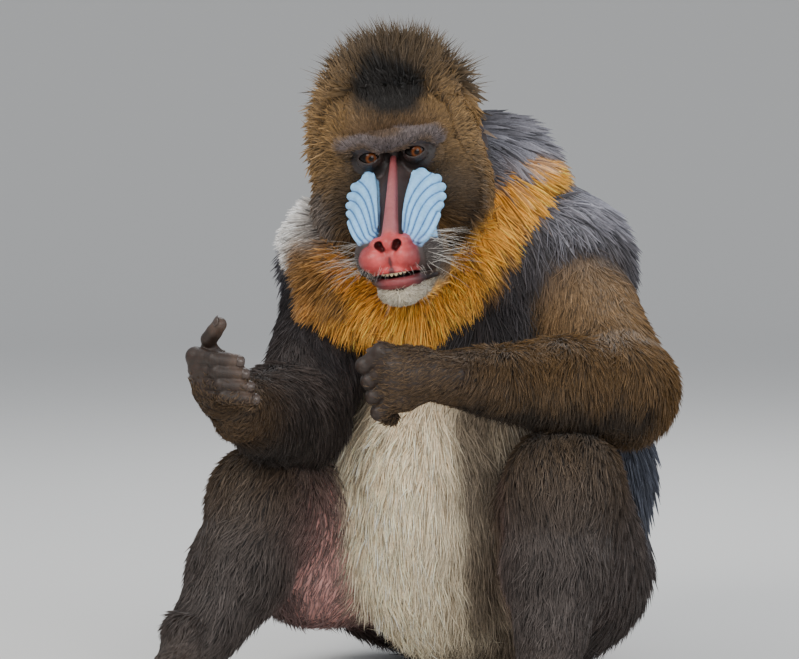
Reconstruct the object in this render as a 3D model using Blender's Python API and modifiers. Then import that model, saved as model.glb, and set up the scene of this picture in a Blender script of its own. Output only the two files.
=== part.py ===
"""An adult male mandrill, seated on its rump with both fists raised, as a life-size still model.

Metres, +Z up. The origin is on the floor under the middle of the seat, and the viewer stands at -Y.
The animal's own left is at +X. Its body is turned a little towards -X and its head faces the viewer.
"""

import math
import random

import bmesh
import bpy
from mathutils import Matrix, Vector
from mathutils.bvhtree import BVHTree

for leftover in list(bpy.data.objects):
    bpy.data.objects.remove(leftover)

# Clearances
GAP = 0.0003
CUTTER_SIZE = 1.6
FAR = 0.6
COVERED = 0.018

# How the body and the head are turned, in degrees
BODY_TURN = -27.0
HEAD_TURN = -12.0
HEAD_ROLL = -8.8
MUZZLE_PITCH = 43.0

# The eyes
EYE_SIDE = 0.0220
EYE_RADIUS = 0.0118
LID_HEIGHT = 0.0080
FOLDS = 5
FOLD_RADIUS = 0.0056

# Joints of the body, with the radius of flesh and coat round each
PELVIS = Vector((0.0, 0.01, 0.112))
WAIST = Vector((0.014, 0.0, 0.225))
BELLY = Vector((-0.053, -0.060, 0.172))
CHEST = Vector((-0.012, 0.004, 0.330))
WITHERS = Vector((-0.004, 0.045, 0.420))
NAPE = Vector((-0.050, 0.0, 0.475))
EYES = Vector((-0.0955, -0.1635, 0.515))

SIDES = {"left": 1, "right": -1}
SHOULDER = {"left": Vector((0.066, -0.030, 0.405)), "right": Vector((-0.135, 0.035, 0.400))}
ELBOW = {"left": Vector((0.118, -0.185, 0.300)), "right": Vector((-0.186, -0.120, 0.270))}
WRIST = {"left": Vector((-0.052, -0.262, 0.314)), "right": Vector((-0.238, -0.292, 0.288))}
HIP = {"left": Vector((0.066, -0.030, 0.118)), "right": Vector((-0.085, 0.050, 0.115))}
KNEE = {"left": Vector((0.062, -0.218, 0.212)), "right": Vector((-0.218, -0.130, 0.186))}
ANKLE = {"left": Vector((0.046, -0.262, 0.048)), "right": Vector((-0.285, -0.205, 0.048))}
TOES = {"left": Vector((0.022, -0.410, 0.016)), "right": Vector((-0.350, -0.335, 0.016))}

CREST_CORE = 0.022
MANE_CORE = 0.026
BACK_CORE = 0.014
BEARD_CORE = 0.020

SHOULDER_RADIUS = 0.072
ELBOW_RADIUS = 0.053
WRIST_RADIUS = 0.028
FINGER_RADIUS = 0.0074
FINGER_PITCH = 0.0125
HIP_RADIUS = 0.096
HAM_RADIUS = 0.074
KNEE_RADIUS = 0.053
CALF_RADIUS = 0.053
ANKLE_RADIUS = 0.033

# Surfaces: colour, roughness
COLOURS = {
    "olive": ((0.115, 0.078, 0.036), 0.85),
    "charcoal": ((0.045, 0.043, 0.048), 0.85),
    "grey_brown": ((0.080, 0.068, 0.060), 0.85),
    "orange": ((0.520, 0.215, 0.035), 0.80),
    "cream": ((0.500, 0.410, 0.310), 0.85),
    "blue": ((0.280, 0.500, 0.700), 0.45),
    "red": ((0.520, 0.110, 0.090), 0.40),
    "hand": ((0.080, 0.056, 0.044), 0.55),
    "ear": ((0.050, 0.040, 0.042), 0.60),
    "iris": ((0.330, 0.110, 0.020), 0.10),
}

collection = bpy.data.collections.new("mandrill")
bpy.context.scene.collection.children.link(collection)
cutters = bpy.data.collections.new("cutters")
bpy.context.scene.collection.children.link(cutters)


def material(name):
    """The Principled material of a surface, made once."""
    found = bpy.data.materials.get(name)
    if found:
        return found
    made = bpy.data.materials.new(name)
    made.use_nodes = True
    shader = made.node_tree.nodes["Principled BSDF"]
    colour, roughness = COLOURS[name]
    shader.inputs["Base Color"].default_value = (*colour, 1)
    shader.inputs["Roughness"].default_value = roughness
    shader.inputs["Metallic"].default_value = 0
    return made


def turned(degrees):
    """A turn about Z."""
    return Matrix.Rotation(math.radians(degrees), 4, "Z")


BODY = turned(BODY_TURN)
HEAD = Matrix.Translation(EYES) @ Matrix.Rotation(math.radians(HEAD_ROLL), 4, "Y") @ turned(HEAD_TURN)
MUZZLE = HEAD @ Matrix.Rotation(math.radians(MUZZLE_PITCH), 4, "X")


def face(side, back, up):
    """A place on the head, from between the eyes: towards its left, backwards and up."""
    return HEAD @ Vector((side, back, up))


def muzzle(side, along, up):
    """A place on the muzzle, from between the eyes: to its left, down the nose, off its bridge."""
    return MUZZLE @ Vector((side, -along, up))


def ball(shape, centre, radii, frame=Matrix.Identity(4), around=24, rows=14):
    """Adds an ellipsoid whose axes follow the frame's."""
    place = Matrix.LocRotScale(centre, frame.to_quaternion(), Vector(radii))
    bmesh.ops.create_uvsphere(shape, u_segments=around, v_segments=rows, radius=1, matrix=place)


def limb(shape, start, end, start_radius, end_radius):
    """Adds a tapered round bar with a ball at each end."""
    along = end - start
    turn = along.to_track_quat("Z", "Y")
    bmesh.ops.create_cone(
        shape,
        cap_ends=True,
        segments=20,
        radius1=start_radius,
        radius2=end_radius,
        depth=along.length,
        matrix=Matrix.LocRotScale((start + end) / 2, turn, None),
    )
    ball(shape, start, [start_radius] * 3)
    ball(shape, end, [end_radius] * 3)


def bent_bar(stations):
    """A loft through flat four-cornered sections: centre, across, through. The last one is the tip."""
    shape = bmesh.new()
    rings = []
    for centre, across, through in stations[:-1]:
        corners = (centre - across, centre + through, centre + across, centre - through)
        rings.append([shape.verts.new(corner) for corner in corners])
    tip = shape.verts.new(stations[-1][0])
    shape.faces.new(rings[0])
    for ring, following in zip(rings, rings[1:]):
        for corner in range(4):
            after = (corner + 1) % 4
            shape.faces.new((ring[corner], ring[after], following[after], following[corner]))
    for corner in range(4):
        shape.faces.new((rings[-1][corner], rings[-1][(corner + 1) % 4], tip))
    bmesh.ops.recalc_face_normals(shape, faces=shape.faces)
    bmesh.ops.triangulate(shape, faces=shape.faces)
    return shape


def placed(name, shape):
    """Makes an object of the shape."""
    mesh = bpy.data.meshes.new(name)
    shape.to_mesh(mesh)
    shape.free()
    obj = bpy.data.objects.new(name, mesh)
    collection.objects.link(obj)
    return obj


def finished(obj):
    """The object as its modifiers leave it, made a plain mesh."""
    evaluated = obj.evaluated_get(bpy.context.evaluated_depsgraph_get())
    mesh = bpy.data.meshes.new_from_object(evaluated)
    obj.modifiers.clear()
    obj.data = mesh
    return obj


def keep_largest(obj):
    """Leaves only the largest closed surface of the object."""
    shape = bmesh.new()
    shape.from_mesh(obj.data)
    shape.faces.ensure_lookup_table()
    unseen = set(shape.faces)
    groups = []
    while unseen:
        edge_of = [unseen.pop()]
        group = []
        while edge_of:
            here = edge_of.pop()
            group.append(here)
            for edge in here.edges:
                if len(edge.link_faces) != 2:
                    continue
                for other in edge.link_faces:
                    if other in unseen:
                        unseen.remove(other)
                        edge_of.append(other)
        groups.append(group)
    largest = max(groups, key=lambda group: sum(one.calc_area() for one in group))
    scraps = [one for group in groups if group is not largest for one in group]
    bmesh.ops.delete(shape, geom=scraps, context="FACES")
    bmesh.ops.triangulate(shape, faces=shape.faces)
    shape.to_mesh(obj.data)
    shape.free()


def soft_form(name, shape, surface, voxel, smoothing, triangles):
    """One smooth closed form round all the pieces in the shape, thinned to about that many triangles."""
    obj = placed(name, shape)
    remesh = obj.modifiers.new("one skin", "REMESH")
    remesh.mode = "VOXEL"
    remesh.voxel_size = voxel
    smooth = obj.modifiers.new("soften", "SMOOTH")
    smooth.factor = 0.5
    smooth.iterations = smoothing
    finished(obj)
    thin = obj.modifiers.new("thin", "DECIMATE")
    thin.ratio = min(1.0, triangles / (2 * len(obj.data.polygons)))
    thin.use_collapse_triangulate = True
    finished(obj)
    keep_largest(obj)
    return fitted(paint(obj, surface))


def cut_by(obj, cutter, solver="EXACT"):
    """Takes the cutter away from the object."""
    boolean = obj.modifiers.new("cut", "BOOLEAN")
    boolean.operation = "DIFFERENCE"
    boolean.solver = solver
    boolean.object = cutter
    finished(obj)
    keep_largest(obj)


def carve(obj, shape):
    """Takes a small shape away from the object."""
    cutter = placed("carving", shape)
    cut_by(obj, cutter)
    bpy.data.objects.remove(cutter)


def box_of(obj):
    """The lowest and highest corners of the object's mesh."""
    places = [vertex.co for vertex in obj.data.vertices]
    low = [min(place[axis] for place in places) for axis in range(3)]
    high = [max(place[axis] for place in places) for axis in range(3)]
    return low, high


def near(one, other):
    """Whether the boxes of two objects touch."""
    low, high = box_of(one)
    other_low, other_high = box_of(other)
    return all(low[a] < other_high[a] + GAP and high[a] > other_low[a] - GAP for a in range(3))


def grown(obj):
    """A cutter of the object's shape, larger by the gap all round."""
    copy = bpy.data.objects.new(obj.name + "_room", obj.data.copy())
    cutters.objects.link(copy)
    copy.hide_render = True
    copy.display_type = "WIRE"
    swell = copy.modifiers.new("swell", "DISPLACE")
    swell.strength = GAP * 1.4
    swell.mid_level = 0
    return finished(copy)


def fitted(obj):
    """Cuts a new form back from those already there, leaving the gap, and stands it on the floor."""
    earlier = list(cutters.objects)
    grown(obj)
    for cutter in earlier:
        if near(obj, cutter):
            cut_by(obj, cutter)
    if box_of(obj)[0][2] < 0.001:
        stand_on_floor(obj)
    obj.data.shade_smooth()
    return obj


def block(name, frame, size):
    """A cube of that size under the XY plane of the frame, to cut with."""
    shape = bmesh.new()
    below = frame @ Matrix.Translation((0, 0, -size / 2))
    bmesh.ops.create_cube(shape, size=size, matrix=below)
    return placed(name, shape)


def cut_behind(obj, point, direction):
    """Cuts away all of the object that lies behind the plane through the point."""
    turn = direction.to_track_quat("Z", "Y")
    cutter = block("cutter", Matrix.LocRotScale(point, turn, None), CUTTER_SIZE)
    cut_by(obj, cutter)
    bpy.data.objects.remove(cutter)


def joined(obj, pieces):
    """Joins closed pieces to the object and removes them."""
    group = bpy.data.collections.new("pieces")
    for piece in pieces:
        group.objects.link(piece)
    boolean = obj.modifiers.new("join", "BOOLEAN")
    boolean.operation = "UNION"
    boolean.solver = "EXACT"
    boolean.operand_type = "COLLECTION"
    boolean.collection = group
    finished(obj)
    for piece in pieces:
        bpy.data.objects.remove(piece)
    bpy.data.collections.remove(group)
    keep_largest(obj)


def stand_on_floor(obj):
    """Cuts the object flat at the floor."""
    cut_behind(obj, Vector((0, 0, 0)), Vector((0, 0, 1)))


def parted(whole, names, planes):
    """Parts a whole form into named lengths, with thin cuts across it at the planes."""
    lengths = []
    for number, name in enumerate(names):
        length = bpy.data.objects.new(name, whole.data.copy())
        collection.objects.link(length)
        if number > 0:
            point, direction = planes[number - 1]
            cut_behind(length, point + direction * GAP / 2, direction)
        if number < len(planes):
            point, direction = planes[number]
            cut_behind(length, point - direction * GAP / 2, -direction)
        length.data.shade_smooth()
        lengths.append(length)
    bpy.data.objects.remove(whole)
    return lengths


def bend_plane(before, joint, after):
    """The plane that halves the bend at a joint, facing the far length."""
    inward = (before - joint).normalized()
    outward = (after - joint).normalized()
    return joint, (outward - inward).normalized()


def paint(obj, surface):
    """Gives the object its surface."""
    obj.data.materials.clear()
    obj.data.materials.append(material(surface))
    return obj


def belly():
    """The front of the belly, which hangs between the thighs, flat where it meets the trunk."""
    shape = bmesh.new()
    ball(shape, BELLY, (0.116, 0.104, 0.142), BODY)
    front = BODY @ Vector((0, -1, 0))
    whole = shape.verts[:] + shape.edges[:] + shape.faces[:]
    cut = bmesh.ops.bisect_plane(shape, geom=whole, plane_co=BELLY, plane_no=-front, clear_outer=True)
    rim = [edge for edge in cut["geom_cut"] if isinstance(edge, bmesh.types.BMEdge)]
    bmesh.ops.contextual_create(shape, geom=rim)
    soft_form("belly", shape, "cream", 0.007, 6, 240)


def trunk():
    """The core of the rump, the torso and the neck, as one form parted in three."""
    shape = bmesh.new()
    ball(shape, PELVIS, (0.144, 0.128, 0.118), BODY)
    ball(shape, PELVIS + BODY @ Vector((0, 0.02, -0.06)), (0.110, 0.100, 0.060), BODY)
    back = BACK_CORE
    mane = MANE_CORE
    for step in range(3):
        ball(shape, PELVIS.lerp(WAIST, 0.25 + step * 0.25), (0.150 - back, 0.140 - back, 0.120), BODY)
        ball(shape, WAIST.lerp(CHEST, step / 2), (0.156 - back, 0.144 - back, 0.122), BODY)
        ball(shape, CHEST.lerp(WITHERS, 0.3 + step * 0.35), (0.142 - back, 0.128 - back, 0.104 - back), BODY)
        ball(shape, WITHERS.lerp(NAPE, step / 2), (0.128 - mane, 0.110 - mane, 0.088 - mane), BODY)
    for side in SIDES:
        ball(shape, SHOULDER[side], [SHOULDER_RADIUS * 0.92] * 3)
    ball(shape, NAPE + Vector((0.036, 0.020, 0.016)), (0.086 - mane, 0.090 - mane, 0.080 - mane), BODY)
    whole = soft_form("trunk", shape, "charcoal", 0.008, 12, 640)
    up = Vector((0, 0, 1))
    towards_head = (NAPE - CHEST).normalized()
    planes = [(PELVIS.lerp(WAIST, 0.5), up), (CHEST.lerp(NAPE, 0.72), towards_head)]
    rump = parted(whole, ["rump", "torso", "neck"], planes)[0]
    paint(rump, "grey_brown")


def tail():
    """The short tail, held up against the back."""
    shape = bmesh.new()
    root = PELVIS + BODY @ Vector((0, 0.115, 0.045))
    middle = root + BODY @ Vector((0, 0.036, 0.030))
    tip = middle + BODY @ Vector((0, 0.006, 0.030))
    limb(shape, root, middle, 0.015, 0.013)
    limb(shape, middle, tip, 0.013, 0.009)
    soft_form("tail", shape, "grey_brown", 0.003, 4, 110)


def head():
    """The skull with the core of its coat, the cheeks, the brow, the muzzle and the jaw."""
    shape = bmesh.new()
    crest = CREST_CORE
    ball(shape, face(-0.002, 0.074, 0.014), (0.096 - crest * 0.7, 0.080 - crest * 0.4, 0.100 - crest), HEAD)
    for side in SIDES.values():
        ball(shape, face(side * 0.046, 0.062, -0.040), (0.044, 0.050, 0.056), HEAD)
        ball(shape, face(side * EYE_SIDE, 0.004, -0.001), (0.021, 0.013, 0.017), HEAD)
        ball(shape, face(side * 0.0215, -0.042, -0.0890), (0.0195, 0.031, 0.026), HEAD)
        limb(shape, face(0, -0.0120, 0.0145), face(side * 0.038, -0.0010, 0.0150), 0.0085, 0.0085)
    limb(shape, face(-0.030, 0.020, 0.022), face(0.030, 0.020, 0.022), 0.022, 0.022)
    ball(shape, muzzle(0, 0.050, -0.030), (0.040, 0.075, 0.026), MUZZLE)
    ball(shape, muzzle(0, 0.100, -0.028), (0.029, 0.034, 0.024), MUZZLE)
    limb(shape, face(0, 0.000, -0.1020), face(0, -0.044, -0.1150), 0.035, 0.0215)
    limb(shape, face(-0.014, -0.0640, -0.1155), face(0.014, -0.0640, -0.1155), 0.0092, 0.0092)
    obj = soft_form("head", shape, "olive", 0.0030, 3, 940)
    mouth = bmesh.new()
    ball(mouth, face(0, -0.060, -0.1080), (0.042, 0.040, 0.0026), HEAD, 14, 6)
    carve(obj, mouth)
    lids = [lid(side, above) for side in SIDES.values() for above in (1, -1)]
    for piece in lids:
        for cutter in cutters.objects:
            if cutter.name != "head_room" and near(piece, cutter):
                cut_by(piece, cutter)
    joined(obj, lids)


def lid(side, above):
    """One eyelid, an arc over the front of the eyeball: above is 1 for the upper one, -1 for the lower."""
    centre = Vector((side * EYE_SIDE, -0.001, 0))
    reach = EYE_RADIUS + 0.0008
    stations = []
    for step in range(6):
        angle = math.radians(-80 + step * 160 / 5)
        height = above * LID_HEIGHT * math.cos(angle)
        level = math.sqrt(reach**2 - height**2)
        place = HEAD @ (centre + Vector((math.sin(angle) * level, -math.cos(angle) * level, height)))
        across = HEAD.to_3x3() @ Vector((0, -0.0004, above * 0.0034))
        through = HEAD.to_3x3() @ Vector((0, -0.0016, 0))
        stations.append((place, across, through))
    return placed("lid", bent_bar(stations))


def cheek_ridge(name, side):
    """The swollen blue ridge beside the nose, its long folds fanning out from beside the nostril."""
    shape = bmesh.new()
    for fold in range(FOLDS):
        out = fold / (FOLDS - 1)
        top = muzzle(side * (0.0185 + 0.0235 * out**0.6), 0.014 + 0.050 * out**2, -0.006 - 0.015 * out)
        middle = muzzle(side * (0.0165 + 0.0235 * out), 0.060 + 0.018 * out**2, -0.004 - 0.017 * out**2)
        low = muzzle(side * (0.0140 + 0.0170 * out), 0.102 - 0.006 * out, -0.009 - 0.013 * out)
        limb(shape, top, middle, FOLD_RADIUS, FOLD_RADIUS)
        limb(shape, middle, low, FOLD_RADIUS, FOLD_RADIUS * 0.75)
    ball(shape, muzzle(side * 0.027, 0.060, -0.014), (0.016, 0.044, 0.010), MUZZLE)
    soft_form("cheek_ridge_" + name, shape, "blue", 0.0020, 2, 300)


def nose():
    """The red nose, from its narrow bridge to its broad tip and upper lip, with its nostrils."""
    shape = bmesh.new()
    limb(shape, muzzle(0, 0.012, -0.0020), muzzle(0, 0.110, -0.0030), 0.0050, 0.0080)
    ball(shape, face(0, -0.0765, -0.0790), (0.0140, 0.0125, 0.0105), HEAD)
    ball(shape, face(0, -0.0735, -0.0935), (0.0120, 0.0145, 0.0130), HEAD)
    for side in SIDES.values():
        ball(shape, face(side * 0.0120, -0.0760, -0.0810), (0.0090, 0.0110, 0.0090), HEAD)
        ball(shape, face(side * 0.0140, -0.0735, -0.0915), (0.0150, 0.0155, 0.0150), HEAD)
    obj = soft_form("nose", shape, "red", 0.0022, 3, 230)
    for side in SIDES.values():
        hole = bmesh.new()
        ball(hole, face(side * 0.0085, -0.0885, -0.0815), (0.0044, 0.0090, 0.0038), HEAD, 10, 6)
        carve(obj, hole)


def beard():
    """The core of the ruff from cheek to cheek under the chin."""
    shape = bmesh.new()
    core = BEARD_CORE
    route = [
        (Vector((-0.160, -0.045, 0.430)), 0.054),
        (Vector((-0.142, -0.085, 0.385)), 0.052),
        (Vector((-0.085, -0.105, 0.368)), 0.053),
        (Vector((-0.030, -0.085, 0.395)), 0.052),
        (Vector((0.004, -0.050, 0.450)), 0.048),
        (Vector((0.020, -0.035, 0.490)), 0.044),
    ]
    for (start, width), (end, next_width) in zip(route, route[1:]):
        limb(shape, start, end, width - core, next_width - core)
    soft_form("beard", shape, "orange", 0.005, 5, 300)


def ear(name, side):
    """A small bare ear with its cup, flat against the side of the head."""
    shape = bmesh.new()
    frame = HEAD @ turned(side * -20)
    ball(shape, face(side * 0.082, 0.094, -0.002), (0.006, 0.016, 0.023), frame)
    obj = soft_form("ear_" + name, shape, "ear", 0.002, 2, 90)
    hollow = bmesh.new()
    ball(hollow, face(side * 0.0895, 0.091, 0.000), (0.005, 0.010, 0.015), frame, 10, 6)
    carve(obj, hollow)


def eye(name, side):
    """An eyeball, of which the lids leave a little open."""
    shape = bmesh.new()
    ball(shape, face(side * EYE_SIDE, -0.001, 0), [EYE_RADIUS] * 3)
    soft_form("eye_" + name, shape, "iris", 0.0018, 1, 90)


def left_fist(shape):
    """The back of this hand faces the viewer, and its fingers curl down and behind it."""
    wrist = WRIST["left"]
    limb(shape, wrist + Vector((0.010, 0, 0)), wrist + Vector((-0.030, -0.016, 0.004)), 0.022, 0.026)
    for number in range(4):
        drop = Vector((number * 0.0045, 0.002 * number, -number * FINGER_PITCH * 1.15))
        knuckle = wrist + Vector((-0.054, -0.022, 0.024)) + drop
        middle = knuckle + Vector((-0.016, 0.004, -0.012))
        tip = middle + Vector((0.010, 0.024, -0.006))
        limb(shape, wrist.lerp(knuckle, 0.4), knuckle, FINGER_RADIUS * 1.2, FINGER_RADIUS * 1.15)
        limb(shape, knuckle, middle, FINGER_RADIUS * 1.05, FINGER_RADIUS)
        limb(shape, middle, tip, FINGER_RADIUS, FINGER_RADIUS * 0.85)
    thumb = wrist + Vector((-0.030, 0.004, 0.018))
    limb(shape, thumb, thumb + Vector((-0.030, 0.012, 0.002)), 0.010, 0.008)


def right_fist(shape):
    """The fingers of this hand lie one over another, and its thumb stands above them."""
    wrist = WRIST["right"]
    limb(shape, wrist, wrist + Vector((-0.018, -0.016, 0.030)), 0.022, 0.022)
    for number in range(4):
        knuckle = wrist + Vector((-0.034 + number * 0.003, -0.024, 0.054 - number * FINGER_PITCH))
        middle = knuckle + Vector((0.018, -0.018, -0.001))
        tip = middle + Vector((0.021 + number * 0.003, 0.002, -0.002))
        limb(shape, wrist.lerp(knuckle, 0.6), knuckle, FINGER_RADIUS, FINGER_RADIUS * 1.05)
        limb(shape, knuckle, middle, FINGER_RADIUS * 1.05, FINGER_RADIUS)
        limb(shape, middle, tip, FINGER_RADIUS, FINGER_RADIUS * 0.88)
    thumb = wrist + Vector((-0.022, -0.008, 0.052))
    limb(shape, thumb, thumb + Vector((0.008, -0.022, 0.024)), FINGER_RADIUS, FINGER_RADIUS * 0.95)


def arm(side):
    """An arm with its coat, parted at the elbow, and its fist."""
    shape = bmesh.new()
    swell = ELBOW[side].lerp(WRIST[side], 0.35)
    limb(shape, SHOULDER[side], ELBOW[side], SHOULDER_RADIUS, ELBOW_RADIUS)
    limb(shape, ELBOW[side], swell, ELBOW_RADIUS, ELBOW_RADIUS * 0.88)
    limb(shape, swell, WRIST[side], ELBOW_RADIUS * 0.88, WRIST_RADIUS)
    whole = soft_form("arm", shape, "olive", 0.005, 5, 480)
    planes = [bend_plane(SHOULDER[side], ELBOW[side], WRIST[side])]
    parted(whole, ["upper_arm_" + side, "forearm_" + side], planes)
    fist = bmesh.new()
    {"left": left_fist, "right": right_fist}[side](fist)
    soft_form("hand_" + side, fist, "hand", 0.0020, 1, 400)


def toes(shape, side):
    """Four toes side by side and a big toe set apart on the inside."""
    along = (TOES[side] - ANKLE[side]).normalized()
    across = Vector((along.y, -along.x, 0)).normalized() * -SIDES[side]
    ball_of_foot = ANKLE[side].lerp(TOES[side], 0.62)
    ball_of_foot.z = 0.014
    for number in range(4):
        spread = across * (number - 1.2) * 0.0150
        root = ball_of_foot + spread
        reach = 0.056 - 0.006 * abs(number - 1)
        limb(shape, root, root + along * reach + spread * 0.30, 0.0095, 0.0085)
    big = ANKLE[side].lerp(TOES[side], 0.35) - across * 0.020
    big.z = 0.014
    limb(shape, big, big + along * 0.045 - across * 0.016, 0.012, 0.010)


def leg(side):
    """A leg with its coat, parted at the knee, and its foot."""
    shape = bmesh.new()
    back = (HIP[side] - KNEE[side]).normalized()
    calf = KNEE[side].lerp(ANKLE[side], 0.40) + back * 0.012
    along = (TOES[side] - ANKLE[side]).normalized()
    heel = ANKLE[side] - along * 0.022
    heel.z = 0.022
    instep = ANKLE[side].lerp(TOES[side], 0.6)
    instep.z = 0.017
    ham = HIP[side].lerp(KNEE[side], 0.45) - Vector((0, 0, 0.026))
    underside = HIP[side].lerp(KNEE[side], 0.64) - Vector((0, 0, 0.050))
    limb(shape, HIP[side], KNEE[side], HIP_RADIUS, KNEE_RADIUS)
    limb(shape, HIP[side] - Vector((0, 0, 0.010)), ham, HIP_RADIUS, HAM_RADIUS)
    limb(shape, ham, KNEE[side], HAM_RADIUS, KNEE_RADIUS)
    limb(shape, ham, underside, HAM_RADIUS, HAM_RADIUS * 0.88)
    limb(shape, KNEE[side], calf, KNEE_RADIUS, CALF_RADIUS)
    limb(shape, calf, ANKLE[side], CALF_RADIUS, ANKLE_RADIUS)
    whole = soft_form("leg", shape, "grey_brown", 0.006, 5, 560)
    parted(whole, ["thigh_" + side, "shank_" + side], [bend_plane(HIP[side], KNEE[side], ANKLE[side])])
    sole = bmesh.new()
    limb(sole, heel, instep, 0.025, 0.022)
    limb(sole, ANKLE[side], instep, 0.026, 0.020)
    toes(sole, side)
    soft_form("foot_" + side, sole, "hand", 0.0030, 2, 300)


def compass(azimuth, height):
    """A direction: azimuth from straight ahead towards the left, height above the level, in degrees."""
    turn = math.radians(azimuth)
    rise = math.radians(height)
    return Vector((math.sin(turn) * math.cos(rise), -math.cos(turn) * math.cos(rise), math.sin(rise)))


def tree_of(obj):
    """The object's surface, for finding places on it."""
    mesh = obj.data
    places = [vertex.co for vertex in mesh.vertices]
    return BVHTree.FromPolygons(places, [face.vertices[:] for face in mesh.polygons])


def lock(coat, root, off, lie, extra=0.0):
    """A flat lock that grows from the root, leans along the lie and bends over, larger by the extra."""
    stand = math.radians(coat["stand"])
    across = lie.cross(off).normalized()
    sunk = coat["width"] * coat["flat"] * 0.5 + 0.004
    stations = [(root - lie * coat["length"] * 0.08 - off * sunk, 0.75)]
    for reach, share in ((0.30, 1.0), (0.68, 0.70), (1.0, 0.0)):
        rise = off * (math.sin(stand) * reach - coat["bend"] * reach * reach)
        fall = Vector((0, 0, -coat["bend"] * reach * reach))
        along = lie * math.cos(stand) * reach
        stations.append((root + (along + rise + fall) * coat["length"], share))
    heading = (stations[3][0] - stations[1][0]).normalized()
    stations[3] = (stations[3][0] + heading * extra * 4, 0.0)
    through = across.cross(heading).normalized()
    bars = []
    for centre, share in stations:
        width = coat["width"] / 2 * share
        bars.append((centre, across * (width + extra), through * (width * coat["flat"] + extra)))
    return placed("lock", bent_bar(bars))


def plant_one(obj, centre, outward, coat, aim):
    """Grows one lock where the object ends in that direction from the centre."""
    root, off = trees[obj.name].ray_cast(centre + outward * FAR, -outward)[:2]
    if root is None or hidden(obj, root, off):
        return
    if callable(aim):
        aim = aim(root, outward)
    lie = (aim - off * aim.dot(off)).normalized()
    length = coat["length"] * draw.uniform(0.85, 1.12)
    width = coat["width"] * draw.uniform(0.85, 1.10)
    grow(obj, dict(coat, length=length, width=width), root, off, lie)


def plant(obj, centre, frame, places, coat, flow):
    """Grows locks on the outside of the object at the given compass places round the centre."""
    for azimuth, height in places:
        turn = azimuth + draw.uniform(-1, 1) * coat["scatter"]
        rise = height + draw.uniform(-1, 1) * coat["scatter"] * 0.6
        plant_one(obj, centre, frame.to_3x3() @ compass(turn, rise), coat, flow)


def hidden(obj, root, off):
    """Whether another form covers that place."""
    for other, surface in trees.items():
        if other != obj.name:
            if surface.ray_cast(root + off * 0.001, off, COVERED)[0] is not None:
                return True
    return False


def grow(obj, coat, root, off, lie):
    """Adds one lock to those of the object, cut clear of every other form and of the others' locks."""
    new = lock(coat, root, off, lie)
    own = tree_of(new)
    for other, surface in trees.items():
        if other != obj.name and own.overlap(surface):
            cutter = grown(bpy.data.objects[other])
            cut_by(new, cutter)
            bpy.data.objects.remove(cutter)
    for holder, room, surface in lock_rooms:
        if holder != obj.name and own.overlap(surface):
            cut_by(new, room)
    room = lock(coat, root, off, lie, extra=2 * GAP)
    room.hide_render = True
    lock_rooms.append((obj.name, room, tree_of(room)))
    locks.setdefault(obj.name, []).append(new)


def grid(azimuths, heights):
    """Compass places in staggered rows."""
    rows = []
    for number, height in enumerate(heights):
        step = azimuths[1] - azimuths[0]
        rows += [(azimuth + step / 2 * (number % 2), height) for azimuth in azimuths]
    return rows


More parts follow.
